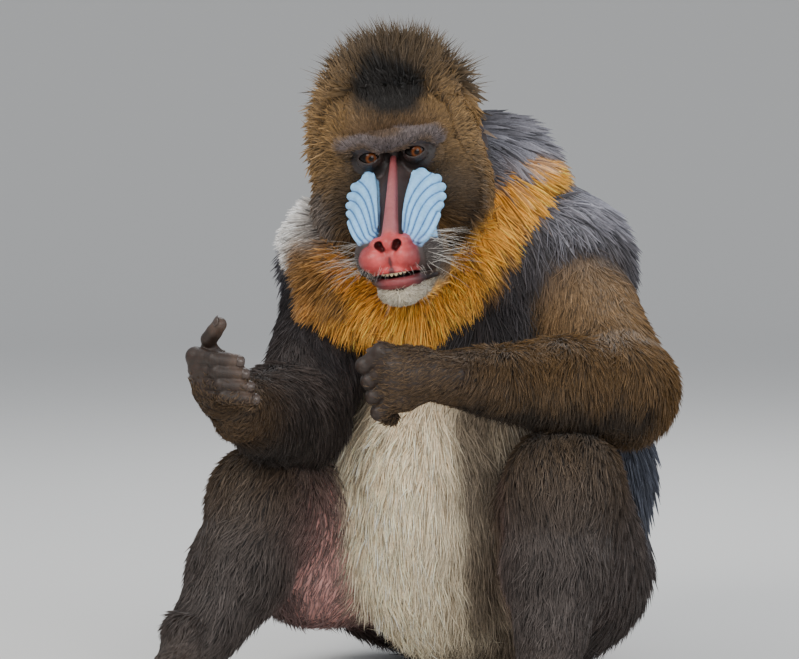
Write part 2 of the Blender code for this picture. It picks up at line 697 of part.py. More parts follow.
def coats():
    """All the long hair: crest, cheeks, beard, mane, cape, belly, rump and tail."""
    node = bpy.data.objects
    skull = face(0, 0.074, 0.010)
    crest = {"length": 0.048, "width": 0.034, "flat": 0.40, "stand": 50, "bend": 0.0, "scatter": 5}
    cheek = {"length": 0.048, "width": 0.038, "flat": 0.22, "stand": 26, "bend": 0.08, "scatter": 3}
    beard = {"length": 0.058, "width": 0.034, "flat": 0.26, "stand": 34, "bend": 0.14, "scatter": 3}
    mane = {"length": 0.078, "width": 0.040, "flat": 0.30, "stand": 26, "bend": 0.14, "scatter": 4}
    cape = {"length": 0.082, "width": 0.050, "flat": 0.24, "stand": 20, "bend": 0.12, "scatter": 4}
    hump = {"length": 0.078, "width": 0.050, "flat": 0.24, "stand": 14, "bend": 0.34, "scatter": 4}
    belly = {"length": 0.070, "width": 0.042, "flat": 0.22, "stand": 15, "bend": 0.04, "scatter": 3}
    up = Vector((0, 0, 1))

    def rising(root, outward):
        return up * 0.8 + outward * 0.5 + HEAD.to_3x3() @ Vector((0, 0.2, 0))

    def falling(root, outward):
        return -up

    def back_and_down(root, outward):
        return BODY @ Vector((0, 0.6, -0.9))

    def away_from_face(root, outward):
        return (root - face(0, 0.02, -0.02)).normalized() + BODY @ Vector((0, 0.3, -0.5))

    plant(node["head"], skull, HEAD, grid(range(-64, 65, 32), [34]), crest, rising)
    plant(node["head"], skull, HEAD, grid(range(-80, 49, 32), [50]), crest, rising)
    plant(node["head"], skull, HEAD, grid(range(-135, 136, 90), [66]), crest, rising)
    plant(node["head"], skull, HEAD, grid(range(120, 241, 50), [46, 20]), crest, rising)
    plant(node["head"], skull, HEAD, [(0, 84), (140, 80), (230, 80)], crest, rising)
    for side in SIDES.values():
        sides = ((86, 32), (78, 14), (74, -4), (68, -22), (60, -38), (96, -10))
        plant(node["head"], skull, HEAD, [(side * turn, rise) for turn, rise in sides], cheek, away_from_face)
    chin = Vector((-0.080, -0.070, 0.440))
    for depth, turns in ((2, range(-110, 131, 20)), (34, range(-100, 121, 22)), (62, range(-60, 61, 40))):
        for angle in turns:
            side = math.sin(math.radians(angle))
            fall = -math.cos(math.radians(angle))
            level = math.radians(depth)
            toward = Vector((side, 0, fall)) * math.cos(level) - Vector((0, 1, 0)) * math.sin(level)
            aim = Vector((side * 0.9, 0.10, fall * 0.8 - 0.35))
            plant_one(node["beard"], chin, toward, beard, aim)
    plant(node["neck"], NAPE, BODY, grid(range(60, 301, 30), [46, 18]), mane, away_from_face)
    plant(node["neck"], NAPE, BODY, grid(range(70, 191, 40), [68]), mane, away_from_face)
    plant(node["torso"], CHEST, BODY, grid(range(70, 291, 35), [36]), hump, back_and_down)
    plant(node["torso"], CHEST, BODY, grid(range(66, 295, 35), [8]), cape, back_and_down)
    plant(node["torso"], WAIST, BODY, grid(range(84, 281, 33), [16, -12]), cape, falling)
    plant(node["torso"], CHEST, BODY, grid(range(-44, 45, 22), [2]), belly, falling)
    plant(node["belly"], BELLY, BODY, grid(range(-48, 49, 32), [32, 4, -24]), belly, falling)
    plant(node["rump"], PELVIS, BODY, grid(range(110, 251, 35), [20]), belly, falling)
    tuft = {"length": 0.034, "width": 0.014, "flat": 0.5, "stand": 35, "bend": 0.05, "scatter": 6}
    bud = PELVIS + BODY @ Vector((0, 0.155, 0.098))
    plant(node["tail"], bud, BODY, grid(range(0, 360, 90), [30]), tuft, rising)


draw = random.Random(11)
locks = {}
lock_rooms = []

belly()
trunk()
tail()
for name, side in SIDES.items():
    eye(name, side)
    cheek_ridge(name, side)
nose()
head()
beard()
for name, side in SIDES.items():
    ear(name, side)
    arm(name)
for name in SIDES:
    leg(name)

trees = {obj.name: tree_of(obj) for obj in collection.objects}
coats()
for holder, pieces in locks.items():
    joined(bpy.data.objects[holder], pieces)
for holder, room, surface in lock_rooms:
    bpy.data.objects.remove(room)
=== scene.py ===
"""The dressed mandrill: its skin, its coat in tufts, its face, hands, feet and eyes, round the solids.

Metres, +Z up. The origin is on the floor under the seat, the viewer stands at -Y, the animal's left is +X.
"""

import math

import bpy
import numpy as np
import openvdb
from mathutils import Matrix, Vector


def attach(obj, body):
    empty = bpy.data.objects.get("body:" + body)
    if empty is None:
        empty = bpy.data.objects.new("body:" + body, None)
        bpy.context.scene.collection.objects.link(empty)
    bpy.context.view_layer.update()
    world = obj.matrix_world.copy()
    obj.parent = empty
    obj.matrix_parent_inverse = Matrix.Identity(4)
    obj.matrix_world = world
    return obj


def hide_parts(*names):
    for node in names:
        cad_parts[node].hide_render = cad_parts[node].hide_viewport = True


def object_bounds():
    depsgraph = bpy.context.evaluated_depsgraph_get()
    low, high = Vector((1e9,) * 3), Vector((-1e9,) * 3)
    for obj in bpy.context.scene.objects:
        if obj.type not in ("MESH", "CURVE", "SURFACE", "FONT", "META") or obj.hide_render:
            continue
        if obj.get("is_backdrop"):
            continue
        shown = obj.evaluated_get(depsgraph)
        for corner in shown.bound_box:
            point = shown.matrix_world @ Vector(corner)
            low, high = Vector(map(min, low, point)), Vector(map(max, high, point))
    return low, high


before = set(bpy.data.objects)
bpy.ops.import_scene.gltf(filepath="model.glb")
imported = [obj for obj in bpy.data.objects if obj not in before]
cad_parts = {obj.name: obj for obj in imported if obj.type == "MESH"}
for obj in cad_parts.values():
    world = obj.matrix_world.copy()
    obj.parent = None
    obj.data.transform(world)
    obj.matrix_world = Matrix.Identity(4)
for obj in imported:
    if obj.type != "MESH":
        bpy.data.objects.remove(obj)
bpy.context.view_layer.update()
draw = np.random.default_rng(7)

# Joints of the body, as in the solids
BODY_TURN = -27.0
HEAD_TURN = -12.0
HEAD_ROLL = -8.8
MUZZLE_PITCH = 43.0
PELVIS = Vector((0.0, 0.01, 0.112))
WAIST = Vector((0.014, 0.0, 0.225))
BELLY = Vector((-0.053, -0.060, 0.172))
CHEST = Vector((-0.012, 0.004, 0.330))
WITHERS = Vector((-0.004, 0.045, 0.420))
NAPE = Vector((-0.050, 0.0, 0.475))
EYES = Vector((-0.0955, -0.1635, 0.515))
SIDES = {"left": 1, "right": -1}
SHOULDER = {"left": Vector((0.066, -0.030, 0.405)), "right": Vector((-0.135, 0.035, 0.400))}
ELBOW = {"left": Vector((0.118, -0.185, 0.300)), "right": Vector((-0.186, -0.120, 0.270))}
WRIST = {"left": Vector((-0.052, -0.262, 0.314)), "right": Vector((-0.238, -0.292, 0.288))}
HIP = {"left": Vector((0.066, -0.030, 0.118)), "right": Vector((-0.085, 0.050, 0.115))}
KNEE = {"left": Vector((0.062, -0.218, 0.212)), "right": Vector((-0.218, -0.130, 0.186))}
ANKLE = {"left": Vector((0.046, -0.262, 0.048)), "right": Vector((-0.285, -0.205, 0.048))}
TOES = {"left": Vector((0.022, -0.410, 0.016)), "right": Vector((-0.350, -0.335, 0.016))}
EYE_SIDE = 0.0220
EYE_RADIUS = 0.0118
FINGER_PITCH = 0.0125
UP = Vector((0, 0, 1))


def turned(degrees, axis="Z"):
    """A turn about one axis."""
    return Matrix.Rotation(math.radians(degrees), 4, axis)


BODY = turned(BODY_TURN)
HEAD = Matrix.Translation(EYES) @ turned(HEAD_ROLL, "Y") @ turned(HEAD_TURN)
MUZZLE = HEAD @ turned(MUZZLE_PITCH, "X")


def face(side, back, up):
    """A place on the head, from between the eyes."""
    return HEAD @ Vector((side, back, up))


def body(joint, side, back, up):
    """A place near a joint, along the turned body's own axes."""
    return joint + BODY.to_3x3() @ Vector((side, back, up))


# Forms measured by distance


def bar(points, start, end, start_radius, end_radius):
    """Distance to a tapered round bar."""
    start = np.array(start, np.float32)
    along = np.array(end, np.float32) - start
    off = points - start
    share = np.clip(off @ along / (along @ along), 0, 1)
    gap = off - share[:, None] * along
    return np.sqrt(np.einsum("ij,ij->i", gap, gap)) - (start_radius + (end_radius - start_radius) * share)


def egg(points, centre, radii, turn=None):
    """Distance to an ellipsoid, near enough."""
    off = points - np.array(centre, np.float32)
    if turn is not None:
        off = off @ np.array(turn.to_3x3(), np.float32)
    off = off / np.array(radii, np.float32)
    inner = np.sqrt(np.einsum("ij,ij->i", off, off)) + 1e-6
    off = off / np.array(radii, np.float32)
    return inner * (inner - 1) / (np.sqrt(np.einsum("ij,ij->i", off, off)) + 1e-6)


def melt(one, other, blend):
    """The union of two forms, softened where they meet."""
    share = np.clip(0.5 + 0.5 * (other - one) / blend, 0, 1)
    return other * (1 - share) + one * share - blend * share * (1 - share)


def carve(one, hole, blend):
    """One form with the other taken away, softened at the edge."""
    return -melt(-one, hole, blend)


def melted(points, forms, blend):
    """The soft union of several forms."""
    whole = None
    for shape, *sizes in forms:
        near = shape(points, *sizes)
        whole = near if whole is None else melt(whole, near, blend)
    return whole


def smooth(low, high, value):
    """0 below low, 1 above high, eased between."""
    share = np.clip((value - low) / (high - low), 0, 1)
    return share * share * (3 - 2 * share)


def surface_of(distance, low, high, step, world=None):
    """The surface of a form inside a box, as points and four-cornered faces."""
    counts = [int(math.ceil((high[axis] - low[axis]) / step)) + 1 for axis in range(3)]
    axes = [low[axis] + step * np.arange(counts[axis], dtype=np.float32) for axis in range(3)]
    values = np.empty(counts, np.float32)
    for number, x in enumerate(axes[0]):
        y, z = np.meshgrid(axes[1], axes[2], indexing="ij")
        points = np.stack([np.full(y.size, x, np.float32), y.ravel(), z.ravel()], 1)
        values[number] = distance(points).reshape(counts[1:])
    grid = openvdb.FloatGrid(background=3.0)
    grid.copyFromArray(np.clip(values / step, -3, 3))
    points, quads = grid.convertToQuads(isovalue=0.0)
    points = points * step + np.array(low, np.float32)
    if world is not None:
        points = points @ np.array(world.to_3x3(), np.float32).T + np.array(world.translation, np.float32)
    return points.astype(np.float32), quads.astype(np.int32)


# The flesh of the trunk and limbs


def trunk_forms():
    """Rump, loins, chest and neck, under the coat."""
    forms = [
        (egg, PELVIS, (0.130, 0.114, 0.106), BODY),
        (egg, body(PELVIS, 0, 0.02, -0.06), (0.104, 0.094, 0.058), BODY),
    ]
    for step in range(3):
        forms.append((egg, PELVIS.lerp(WAIST, 0.25 + step * 0.25), (0.130, 0.122, 0.104), BODY))
        forms.append((egg, WAIST.lerp(CHEST, step / 2), (0.134, 0.124, 0.104), BODY))
        forms.append((egg, CHEST.lerp(WITHERS, 0.3 + step * 0.35), (0.118, 0.106, 0.078), BODY))
        forms.append((egg, WITHERS.lerp(NAPE, step / 2), (0.094, 0.078, 0.056), BODY))
    for side in SIDES:
        forms.append((egg, SHOULDER[side], (0.058, 0.058, 0.058)))
    forms.append((egg, NAPE + Vector((0.036, 0.020, 0.016)), (0.056, 0.060, 0.050), BODY))
    forms.append((egg, BELLY, (0.108, 0.096, 0.134), BODY))
    return forms


def skull_forms():
    """The back and sides of the head, and the throat that carries the beard."""
    forms = [
        (egg, face(-0.011, 0.074, 0.014), (0.074, 0.066, 0.067), HEAD),
        (egg, face(0.036, 0.060, -0.038), (0.036, 0.044, 0.050), HEAD),
        (egg, face(-0.046, 0.060, -0.038), (0.039, 0.044, 0.051), HEAD),
    ]
    forms.append((bar, face(0, 0.08, -0.02), NAPE, 0.058, 0.060))
    return forms


BEARD_ROUTE = [
    (Vector((-0.160, -0.045, 0.430)), 0.024),
    (Vector((-0.142, -0.085, 0.385)), 0.023),
    (Vector((-0.085, -0.105, 0.368)), 0.024),
    (Vector((-0.030, -0.085, 0.395)), 0.023),
    (Vector((0.004, -0.050, 0.450)), 0.020),
    (Vector((0.020, -0.035, 0.490)), 0.018),
]


def beard_forms():
    """The flesh of the cheeks and throat that the beard grows from."""
    pairs = zip(BEARD_ROUTE, BEARD_ROUTE[1:])
    return [(bar, start, end, radius, after) for (start, radius), (end, after) in pairs]


def arm_forms(side):
    """Shoulder, upper arm, elbow and forearm."""
    swell = ELBOW[side].lerp(WRIST[side], 0.35)
    return [
        (bar, SHOULDER[side], ELBOW[side], 0.054, 0.040),
        (bar, ELBOW[side], swell, 0.042, 0.036),
        (bar, swell, WRIST[side], 0.036, 0.0225),
    ]


def leg_forms(side):
    """Haunch, thigh, knee and shank."""
    back = (HIP[side] - KNEE[side]).normalized()
    calf = KNEE[side].lerp(ANKLE[side], 0.40) + back * 0.012
    ham = HIP[side].lerp(KNEE[side], 0.45) - UP * 0.026
    underside = HIP[side].lerp(KNEE[side], 0.64) - UP * 0.050
    return [
        (bar, HIP[side], KNEE[side], 0.083, 0.043),
        (bar, HIP[side] - UP * 0.010, ham, 0.083, 0.062),
        (bar, ham, KNEE[side], 0.062, 0.043),
        (bar, ham, underside, 0.062, 0.055),
        (bar, KNEE[side], calf, 0.043, 0.043),
        (bar, calf, ANKLE[side], 0.043, 0.027),
    ]


def tail_forms():
    """The short tail."""
    root = body(PELVIS, 0, 0.105, 0.040)
    middle = body(root, 0, 0.044, 0.034)
    return [(bar, root, middle, 0.012, 0.009), (bar, middle, body(middle, 0, 0.005, 0.024), 0.009, 0.006)]


PARTS = {
    "trunk": (trunk_forms(), 0.030),
    "skull": (skull_forms(), 0.016),
    "beard": (beard_forms(), 0.012),
    "tail": (tail_forms(), 0.006),
}
for name in SIDES:
    PARTS["arm_" + name] = (arm_forms(name), 0.016)
    PARTS["leg_" + name] = (leg_forms(name), 0.020)


def flesh(points):
    """Distance to the whole body, cut flat where it sits."""
    whole = None
    for forms, blend in PARTS.values():
        near = melted(points, forms, blend)
        whole = near if whole is None else melt(whole, near, 0.014)
    return np.maximum(whole, 0.0012 - points[:, 2])


# The bare face, measured in the head's own axes


def nose_down(points):
    """The same points along the muzzle's axes: to its left, down the nose, off its bridge."""
    turn = np.array(turned(MUZZLE_PITCH, "X").to_3x3(), np.float32)
    places = points @ turn
    return places * np.array((1, -1, 1), np.float32)


# The ridges of a blue cheek, each from its top to its foot: side, along, half its width
FOLDS = [
    [
        (0.0258, 0.0235, 0.0066), (0.0222, 0.0330, 0.0056), (0.0172, 0.0500, 0.0036),
        (0.0140, 0.0720, 0.0023), (0.0126, 0.0960, 0.0018),
    ],
    [
        (0.0395, 0.0270, 0.0048), (0.0318, 0.0360, 0.0043), (0.0232, 0.0545, 0.0034),
        (0.0176, 0.0755, 0.0026), (0.0148, 0.0980, 0.0020),
    ],
    [
        (0.0438, 0.0360, 0.0043), (0.0355, 0.0445, 0.0041), (0.0275, 0.0614, 0.0031),
        (0.0216, 0.0820, 0.0027), (0.0178, 0.1010, 0.0022),
    ],
    [
        (0.0448, 0.0480, 0.0039), (0.0375, 0.0570, 0.0039), (0.0314, 0.0718, 0.0035),
        (0.0256, 0.0900, 0.0031), (0.0212, 0.1050, 0.0025),
    ],
    [
        (0.0440, 0.0600, 0.0034), (0.0388, 0.0710, 0.0032), (0.0342, 0.0850, 0.0030),
        (0.0290, 0.0985, 0.0028), (0.0248, 0.1080, 0.0024),
    ],
    [
        (0.0422, 0.0740, 0.0030), (0.0396, 0.0840, 0.0029), (0.0358, 0.0950, 0.0027),
        (0.0316, 0.1035, 0.0025), (0.0278, 0.1090, 0.0022),
    ],
]
# The blue field beside the nose: how far down it, and its inner and outer edges there
FIELD_ALONG = (0.014, 0.0175, 0.025, 0.035, 0.046, 0.058, 0.069, 0.081, 0.093, 0.104, 0.111)
FIELD_INNER = (0.0215, 0.0190, 0.0165, 0.0150, 0.0138, 0.0130, 0.0122, 0.0116, 0.0112, 0.0130, 0.0200)
FIELD_OUTER = (0.0290, 0.0340, 0.0395, 0.0435, 0.0460, 0.0450, 0.0430, 0.0402, 0.0366, 0.0318, 0.0270)
# The edge of the bare face, in the same way
BARE_ALONG = (-0.012, 0.002, 0.010, 0.016, 0.022, 0.034, 0.046, 0.058, 0.070, 0.082, 0.094, 0.104, 0.112)
BARE_SIDE = (
    0.009, 0.011, 0.020, 0.034, 0.0390, 0.0450, 0.0482, 0.0486, 0.0472, 0.0448, 0.0412, 0.0360, 0.0290,
)
BROW = ((0, -0.0150, 0.0122), (0.043, -0.0045, 0.0128))
BRIDGE = (((0, 0.006, 0.0003), 0.0030), ((0, 0.075, -0.0022), 0.0056), ((0, 0.112, -0.0045), 0.0080))
NOSTRIL = ((0.0088, -0.0880, -0.0792), (0.0062, -0.0880, -0.0832))
PHILTRUM = ((0, -0.0886, -0.0895), (0, -0.0862, -0.1050))
LIP_LEVEL = -0.1085
LIP_SIDE = 0.030
UPPER_LIP = (-0.1042, 0.0, 0.0030)
LOWER_LIP = (-0.1150, 0.0095, 0.0048)


def cheek_rise(side, down):
    """How high the blue cheeks stand beside the nose."""
    rise = 0.0010 - 0.0118 * (np.maximum(side - 0.0157, 0) / 0.0268) ** 1.6
    return rise - 0.0048 * smooth(0.070, 0.104, down) - 0.0013 * (1 - smooth(0.012, 0.030, down))


def rounded(path):
    """A bent line with its corners cut, each place raised to the cheek: place and half the width."""
    path = np.array(path)
    near, far = path[:-1] * 0.75 + path[1:] * 0.25, path[:-1] * 0.25 + path[1:] * 0.75
    path = np.concatenate([path[:1], np.stack([near, far], 1).reshape(-1, 3)[1:-1], path[-1:]])
    return [((side, down, cheek_rise(side, down) - thick), thick) for side, down, thick in path]


FOLD_PATHS = [rounded(path) for path in FOLDS]


def ridge_field(places):
    """Distance to the nearest ridge of the cheeks, and how near each point is to a groove between two."""
    along = np.stack([np.abs(places[:, 0]), cheek_down(places), places[:, 2]], 1)
    nearest = np.full(len(places), 1.0, np.float32)
    second = nearest.copy()
    for path in FOLD_PATHS:
        gap = second * 0 + 1
        for (start, thick), (end, after) in zip(path, path[1:]):
            gap = np.minimum(gap, bar(along, start, end, thick, after))
        second = np.minimum(second, np.maximum(nearest, gap))
        nearest = np.minimum(nearest, gap)
    return nearest, 1 - smooth(0.0002, 0.0022, second - nearest)


def cheek_down(places):
    """How far down the nose each point lies, for cheeks of which the animal's right is the higher."""
    return np.where(places[:, 0] < 0, places[:, 1] * 1.05 + 0.0030, places[:, 1] - 0.0005)


def cheek_bed(places, side):
    """Distance to the swollen cheek under the ridges."""
    down = cheek_down(places)
    top = cheek_rise(side, down) - 0.0022
    inner, outer = np.interp(down, FIELD_ALONG, FIELD_INNER), np.interp(down, FIELD_ALONG, FIELD_OUTER)
    under = np.maximum(top - places[:, 2] - 0.005, 0)
    walls = np.maximum(inner + 0.0014 - side, side - outer + 0.0004 + 0.55 * under)
    ends = np.maximum(0.0215 - down, down - 0.1060)
    depth = np.maximum(places[:, 2] - top, -0.034 - places[:, 2])
    return 0.85 * np.maximum(np.maximum(walls, ends), depth)


def bridge(places):
    """Distance to the red strip down the nose."""
    (top, thin), (middle, wide), (end, widest) = BRIDGE
    return np.minimum(bar(places, top, middle, thin, wide), bar(places, middle, end, wide, widest))


def pad_side(points):
    """How far beside the nose each point is, less on the animal's right, where the lip is wider."""
    return np.where(points[:, 0] < 0, -0.78 * points[:, 0], points[:, 0])


def nose_end(points, mirrored):
    """Distance to the nose's tip, the wings of the nostrils and the pads of the upper lip."""
    tip = egg(points, (0, -0.0765, -0.0785), (0.0100, 0.0115, 0.0085))
    tip = melt(tip, egg(mirrored, (0.0104, -0.0750, -0.0795), (0.0092, 0.0115, 0.0074)), 0.0018)
    wide = np.stack([pad_side(points), points[:, 1], points[:, 2]], 1)
    pads = egg(wide, (0.0118, -0.0735, -0.0922), (0.0132, 0.0152, 0.0128))
    pads = melt(pads, egg(points, (0, -0.0735, -0.0930), (0.0090, 0.0132, 0.0115)), 0.0016)
    return melt(tip, pads, 0.0014)


def nostrils(mirrored):
    """Distance to the nostrils, which run deep into the nose."""
    stretch = np.array((1, 0.34, 1), np.float32)
    upper, lower = (np.array(place, np.float32) * stretch for place in NOSTRIL)
    return bar(mirrored * stretch, upper, lower, 0.0040, 0.0028)


def lip(mirrored, level, back, thick):
    """Distance to a lip, a round bar that follows the bow of the mouth."""
    side = mirrored[:, 0]
    bow = -0.0830 + back + 0.040 * (side / LIP_SIDE) ** 2
    slope = 1 / np.sqrt(1 + (0.080 * side / LIP_SIDE**2) ** 2)
    over = np.maximum(side - LIP_SIDE, 0)
    thick = thick * (1 - 0.5 * smooth(0.016, 0.030, side))
    return np.sqrt(((mirrored[:, 1] - bow) * slope) ** 2 + (mirrored[:, 2] - level) ** 2 + over**2) - thick


def gape(mirrored):
    """Half the height of the mouth's opening: a little in front, shut at the corners."""
    return 0.0019 * (1 - smooth(0.008, 0.027, mirrored[:, 0])) + 0.0004


def bare_face(points):
    """Distance to the face, from brow to chin, in the head's axes."""
    places = nose_down(points)
    side = np.abs(points[:, 0])
    mirrored = np.stack([side, points[:, 1], points[:, 2]], 1)
    along = np.stack([side, places[:, 1], places[:, 2]], 1)
    whole = egg(points, (-0.009, 0.074, 0.014), (0.075, 0.071, 0.072))
    whole = melt(whole, egg(mirrored, (0.036, 0.055, -0.036), (0.038, 0.046, 0.046)), 0.020)
    whole = melt(whole, bar(points, (-0.030, 0.022, 0.022), (0.030, 0.022, 0.022), 0.019, 0.019), 0.010)
    # The muzzle, the jaw and the chin
    whole = melt(whole, egg(along, (0, 0.052, -0.031), (0.0375, 0.072, 0.024)), 0.010)
    whole = melt(whole, egg(mirrored, (0.0215, -0.0430, -0.0890), (0.0185, 0.0310, 0.0255)), 0.008)
    whole = melt(whole, bar(points, (0, 0.000, -0.1020), (0, -0.0440, -0.1150), 0.0330, 0.0205), 0.008)
    whole = melt(whole, egg(points, (0, -0.0560, -0.1225), (0.0205, 0.0170, 0.0140)), 0.005)
    # The brow and the rims of the sockets
    whole = melt(whole, egg(mirrored, (0.024, 0.004, -0.004), (0.020, 0.012, 0.017)), 0.006)
    whole = melt(whole, bar(mirrored, *BROW, 0.0086, 0.0070), 0.004)
    whole = melt(whole, bar(places, (0, 0.010, -0.0125), (0, 0.100, -0.0125), 0.0095, 0.0105), 0.004)
    ridges, _ = ridge_field(places)
    whole = melt(whole, cheek_bed(places, side), 0.003)
    whole = melt(whole, ridges, 0.0008)
    whole = melt(whole, bridge(places), 0.0016)
    whole = melt(whole, nose_end(points, mirrored), 0.0030)
    whole = carve(whole, nostrils(mirrored), 0.0012)
    whole = carve(whole, bar(points, *PHILTRUM, 0.0012, 0.0022), 0.0012)
    # The mouth, a little open in front, between its lips
    whole = melt(whole, lip(mirrored, *UPPER_LIP), 0.0030)
    whole = melt(whole, lip(mirrored, *LOWER_LIP), 0.0030)
    slot = np.abs(points[:, 2] - LIP_LEVEL) - gape(mirrored)
    slot = np.maximum(np.maximum(slot, side - LIP_SIDE), points[:, 1] + 0.0400)
    whole = carve(whole, slot, 0.0012)
    # The eyes: a hollow, and lids that lie on the ball and leave it open
    off = mirrored - np.array((EYE_SIDE, -0.001, 0), np.float32)
    reach = np.sqrt(np.einsum("ij,ij->i", off, off))
    whole = carve(whole, reach - (EYE_RADIUS + 0.0018), 0.0022)
    shell = np.maximum(reach - (EYE_RADIUS + 0.0014), EYE_RADIUS - 0.0006 - reach)
    across = np.clip(1 - (off[:, 0] / 0.0096) ** 2, 0, 1)
    upper = off[:, 2] - 0.0045 * np.sqrt(across)
    lower = -off[:, 2] - 0.0044 * across
    almond = np.maximum(np.maximum(upper, lower), off[:, 1])
    whole = melt(whole, np.maximum(shell, -almond) - 0.0003, 0.0014)
    whole = carve(whole, np.maximum(almond - 0.0002, reach - EYE_RADIUS - 0.0040), 0.0008)
    # Creases under the eyes
    for drop in (0.0092, 0.0118):
        bag = np.abs(np.sqrt(off[:, 0] ** 2 + (off[:, 2] * 1.15) ** 2) - drop - 0.001) - 0.0002
        whole = carve(whole, np.maximum(np.maximum(bag, off[:, 2] + 0.004), -whole - 0.0007), 0.0007)
    return np.maximum(whole, points[:, 1] - 0.030)


FACE_LOW = (-0.072, -0.128, -0.146)
FACE_HIGH = (0.072, 0.034, 0.060)


# Hands and feet


def left_hand_forms():
    """A fist whose back faces the viewer: palm, four curled fingers and a thumb."""
    wrist = WRIST["left"]
    palm = [
        (bar, wrist + Vector((0.014, 0, 0)), wrist + Vector((-0.026, -0.012, 0.002)), 0.0205, 0.0215),
        (
            bar, wrist + Vector((-0.020, -0.010, 0.010)), wrist + Vector((-0.034, -0.010, -0.012)),
            0.017, 0.016,
        ),
    ]
    fingers = []
    for number in range(4):
        drop = Vector((number * 0.0045, 0.002 * number, -number * FINGER_PITCH * 1.15))
        knuckle = wrist + Vector((-0.054, -0.022, 0.024)) + drop
        middle = knuckle + Vector((-0.016, 0.004, -0.012))
        tip = middle + Vector((0.010, 0.024, -0.006))
        palm.append((bar, wrist.lerp(knuckle, 0.45), knuckle, 0.0100, 0.0092))
        fingers.append(((knuckle, middle, tip), (0.0090, 0.0078, 0.0082, 0.0070)))
    thumb = wrist + Vector((-0.030, 0.004, 0.018))
    middle, tip = thumb + Vector((-0.016, 0.006, 0.002)), thumb + Vector((-0.030, 0.012, 0.001))
    fingers.append(((thumb, middle, tip), (0.0095, 0.0080, 0.0084, 0.0070)))
    return palm, fingers


def right_hand_forms():
    """A fist seen from its fingers, which lie one over another, with the thumb raised."""
    wrist = WRIST["right"]
    palm = [
        (
            bar, wrist + Vector((0.002, 0.004, -0.008)), wrist + Vector((-0.014, -0.010, 0.024)),
            0.0200, 0.0190,
        ),
        (
            bar, wrist + Vector((-0.012, -0.014, 0.010)), wrist + Vector((-0.020, -0.014, 0.044)),
            0.0170, 0.0140,
        ),
    ]
    fingers = []
    for number in range(4):
        knuckle = wrist + Vector((-0.034 + number * 0.003, -0.024, 0.0490 - number * 0.0112))
        middle = knuckle + Vector((0.018, -0.018, -0.001))
        tip = middle + Vector((0.020 + number * 0.0015, 0.002, -0.002))
        palm.append((bar, wrist.lerp(knuckle, 0.6), knuckle, 0.0090, 0.0080))
        fingers.append(((knuckle, middle, tip), (0.0082, 0.0072, 0.0074, 0.0064)))
    thumb = wrist + Vector((-0.022, -0.008, 0.048))
    middle = thumb + Vector((0.000, -0.012, 0.016))
    tip = middle + Vector((0.010, -0.010, 0.014))
    fingers.append(((thumb, middle, tip), (0.0088, 0.0072, 0.0076, 0.0066)))
    return palm, fingers


HANDS = {"left": left_hand_forms(), "right": right_hand_forms()}


def digits(points, fingers, blend):
    """Fingers or toes, thick at the knuckles and thin between them."""
    whole = None
    for joints, radii in fingers:
        for number, (start, end) in enumerate(zip(joints, joints[1:])):
            bulge = radii[number] if number == 0 else radii[number + 1]
            waist = radii[1] * 0.96
            middle = start.lerp(end, 0.5)
            first = bar(points, start, middle, bulge, waist)
            near = melt(first, bar(points, middle, end, waist, radii[-1]), 0.002)
            whole = near if whole is None else melt(whole, near, blend)
    return whole


def hand(side):
    """Distance to one hand."""
    palm, fingers = HANDS[side]

    def distance(points):
        return melt(melted(points, palm, 0.009), digits(points, fingers, 0.0011), 0.0035)

    return distance


def foot_forms(side):
    """Heel, sole, instep and toes, with the big toe set apart on the inside."""
    along = (TOES[side] - ANKLE[side]).normalized()
    across = Vector((along.y, -along.x, 0)).normalized() * -SIDES[side]
    heel = ANKLE[side] - along * 0.020
    heel.z = 0.021
    instep = ANKLE[side].lerp(TOES[side], 0.6)
    instep.z = 0.016
    top = ANKLE[side] + UP * 0.020
    sole = [
        (bar, heel, instep, 0.0230, 0.0190),
        (bar, ANKLE[side], instep, 0.0240, 0.0170),
        (bar, ANKLE[side], top, 0.0250, 0.0240),
    ]
    toes = []
    pad = ANKLE[side].lerp(TOES[side], 0.62)
    pad.z = 0.0130
    for number in range(4):
        spread = across * (number - 1.2) * 0.0150
        reach = 0.056 - 0.006 * abs(number - 1)
        root = pad + spread
        tip = root + along * reach + spread * 0.30
        tip.z = 0.0088
        middle = root.lerp(tip, 0.55) + UP * 0.0035
        sole.append((bar, instep.lerp(root, 0.3), root, 0.0120, 0.0098))
        toes.append(((root, middle, tip), (0.0100, 0.0082, 0.0086, 0.0076)))
    big = ANKLE[side].lerp(TOES[side], 0.35) - across * 0.018
    big.z = 0.0135
    end = big + along * 0.045 - across * 0.016
    end.z = 0.0100
    toes.append(((big, big.lerp(end, 0.5) + UP * 0.002, end), (0.0120, 0.0100, 0.0100, 0.0088)))
    return sole, toes


FEET = {side: foot_forms(side) for side in SIDES}


def foot(side):
    """Distance to one foot, flat where it stands."""
    sole, toes = FEET[side]

    def distance(points):
        whole = melt(melted(points, sole, 0.010), digits(points, toes, 0.0012), 0.004)
        return np.maximum(whole, 0.0008 - points[:, 2])

    return distance


def box_round(forms, margin):
    """The box round the named places of some forms."""
    places = [np.array(place) for place in forms]
    return np.min(places, 0) - margin, np.max(places, 0) + margin


# Colours of the animal, as seen in plain light: red, green, blue out of 255


def shade(red, green, blue):
    """A colour for the shaders."""
    values = np.array((red, green, blue), np.float64) / 255
    return np.where(values <= 0.04045, values / 12.92, ((values + 0.055) / 1.055) ** 2.4).astype(np.float32)


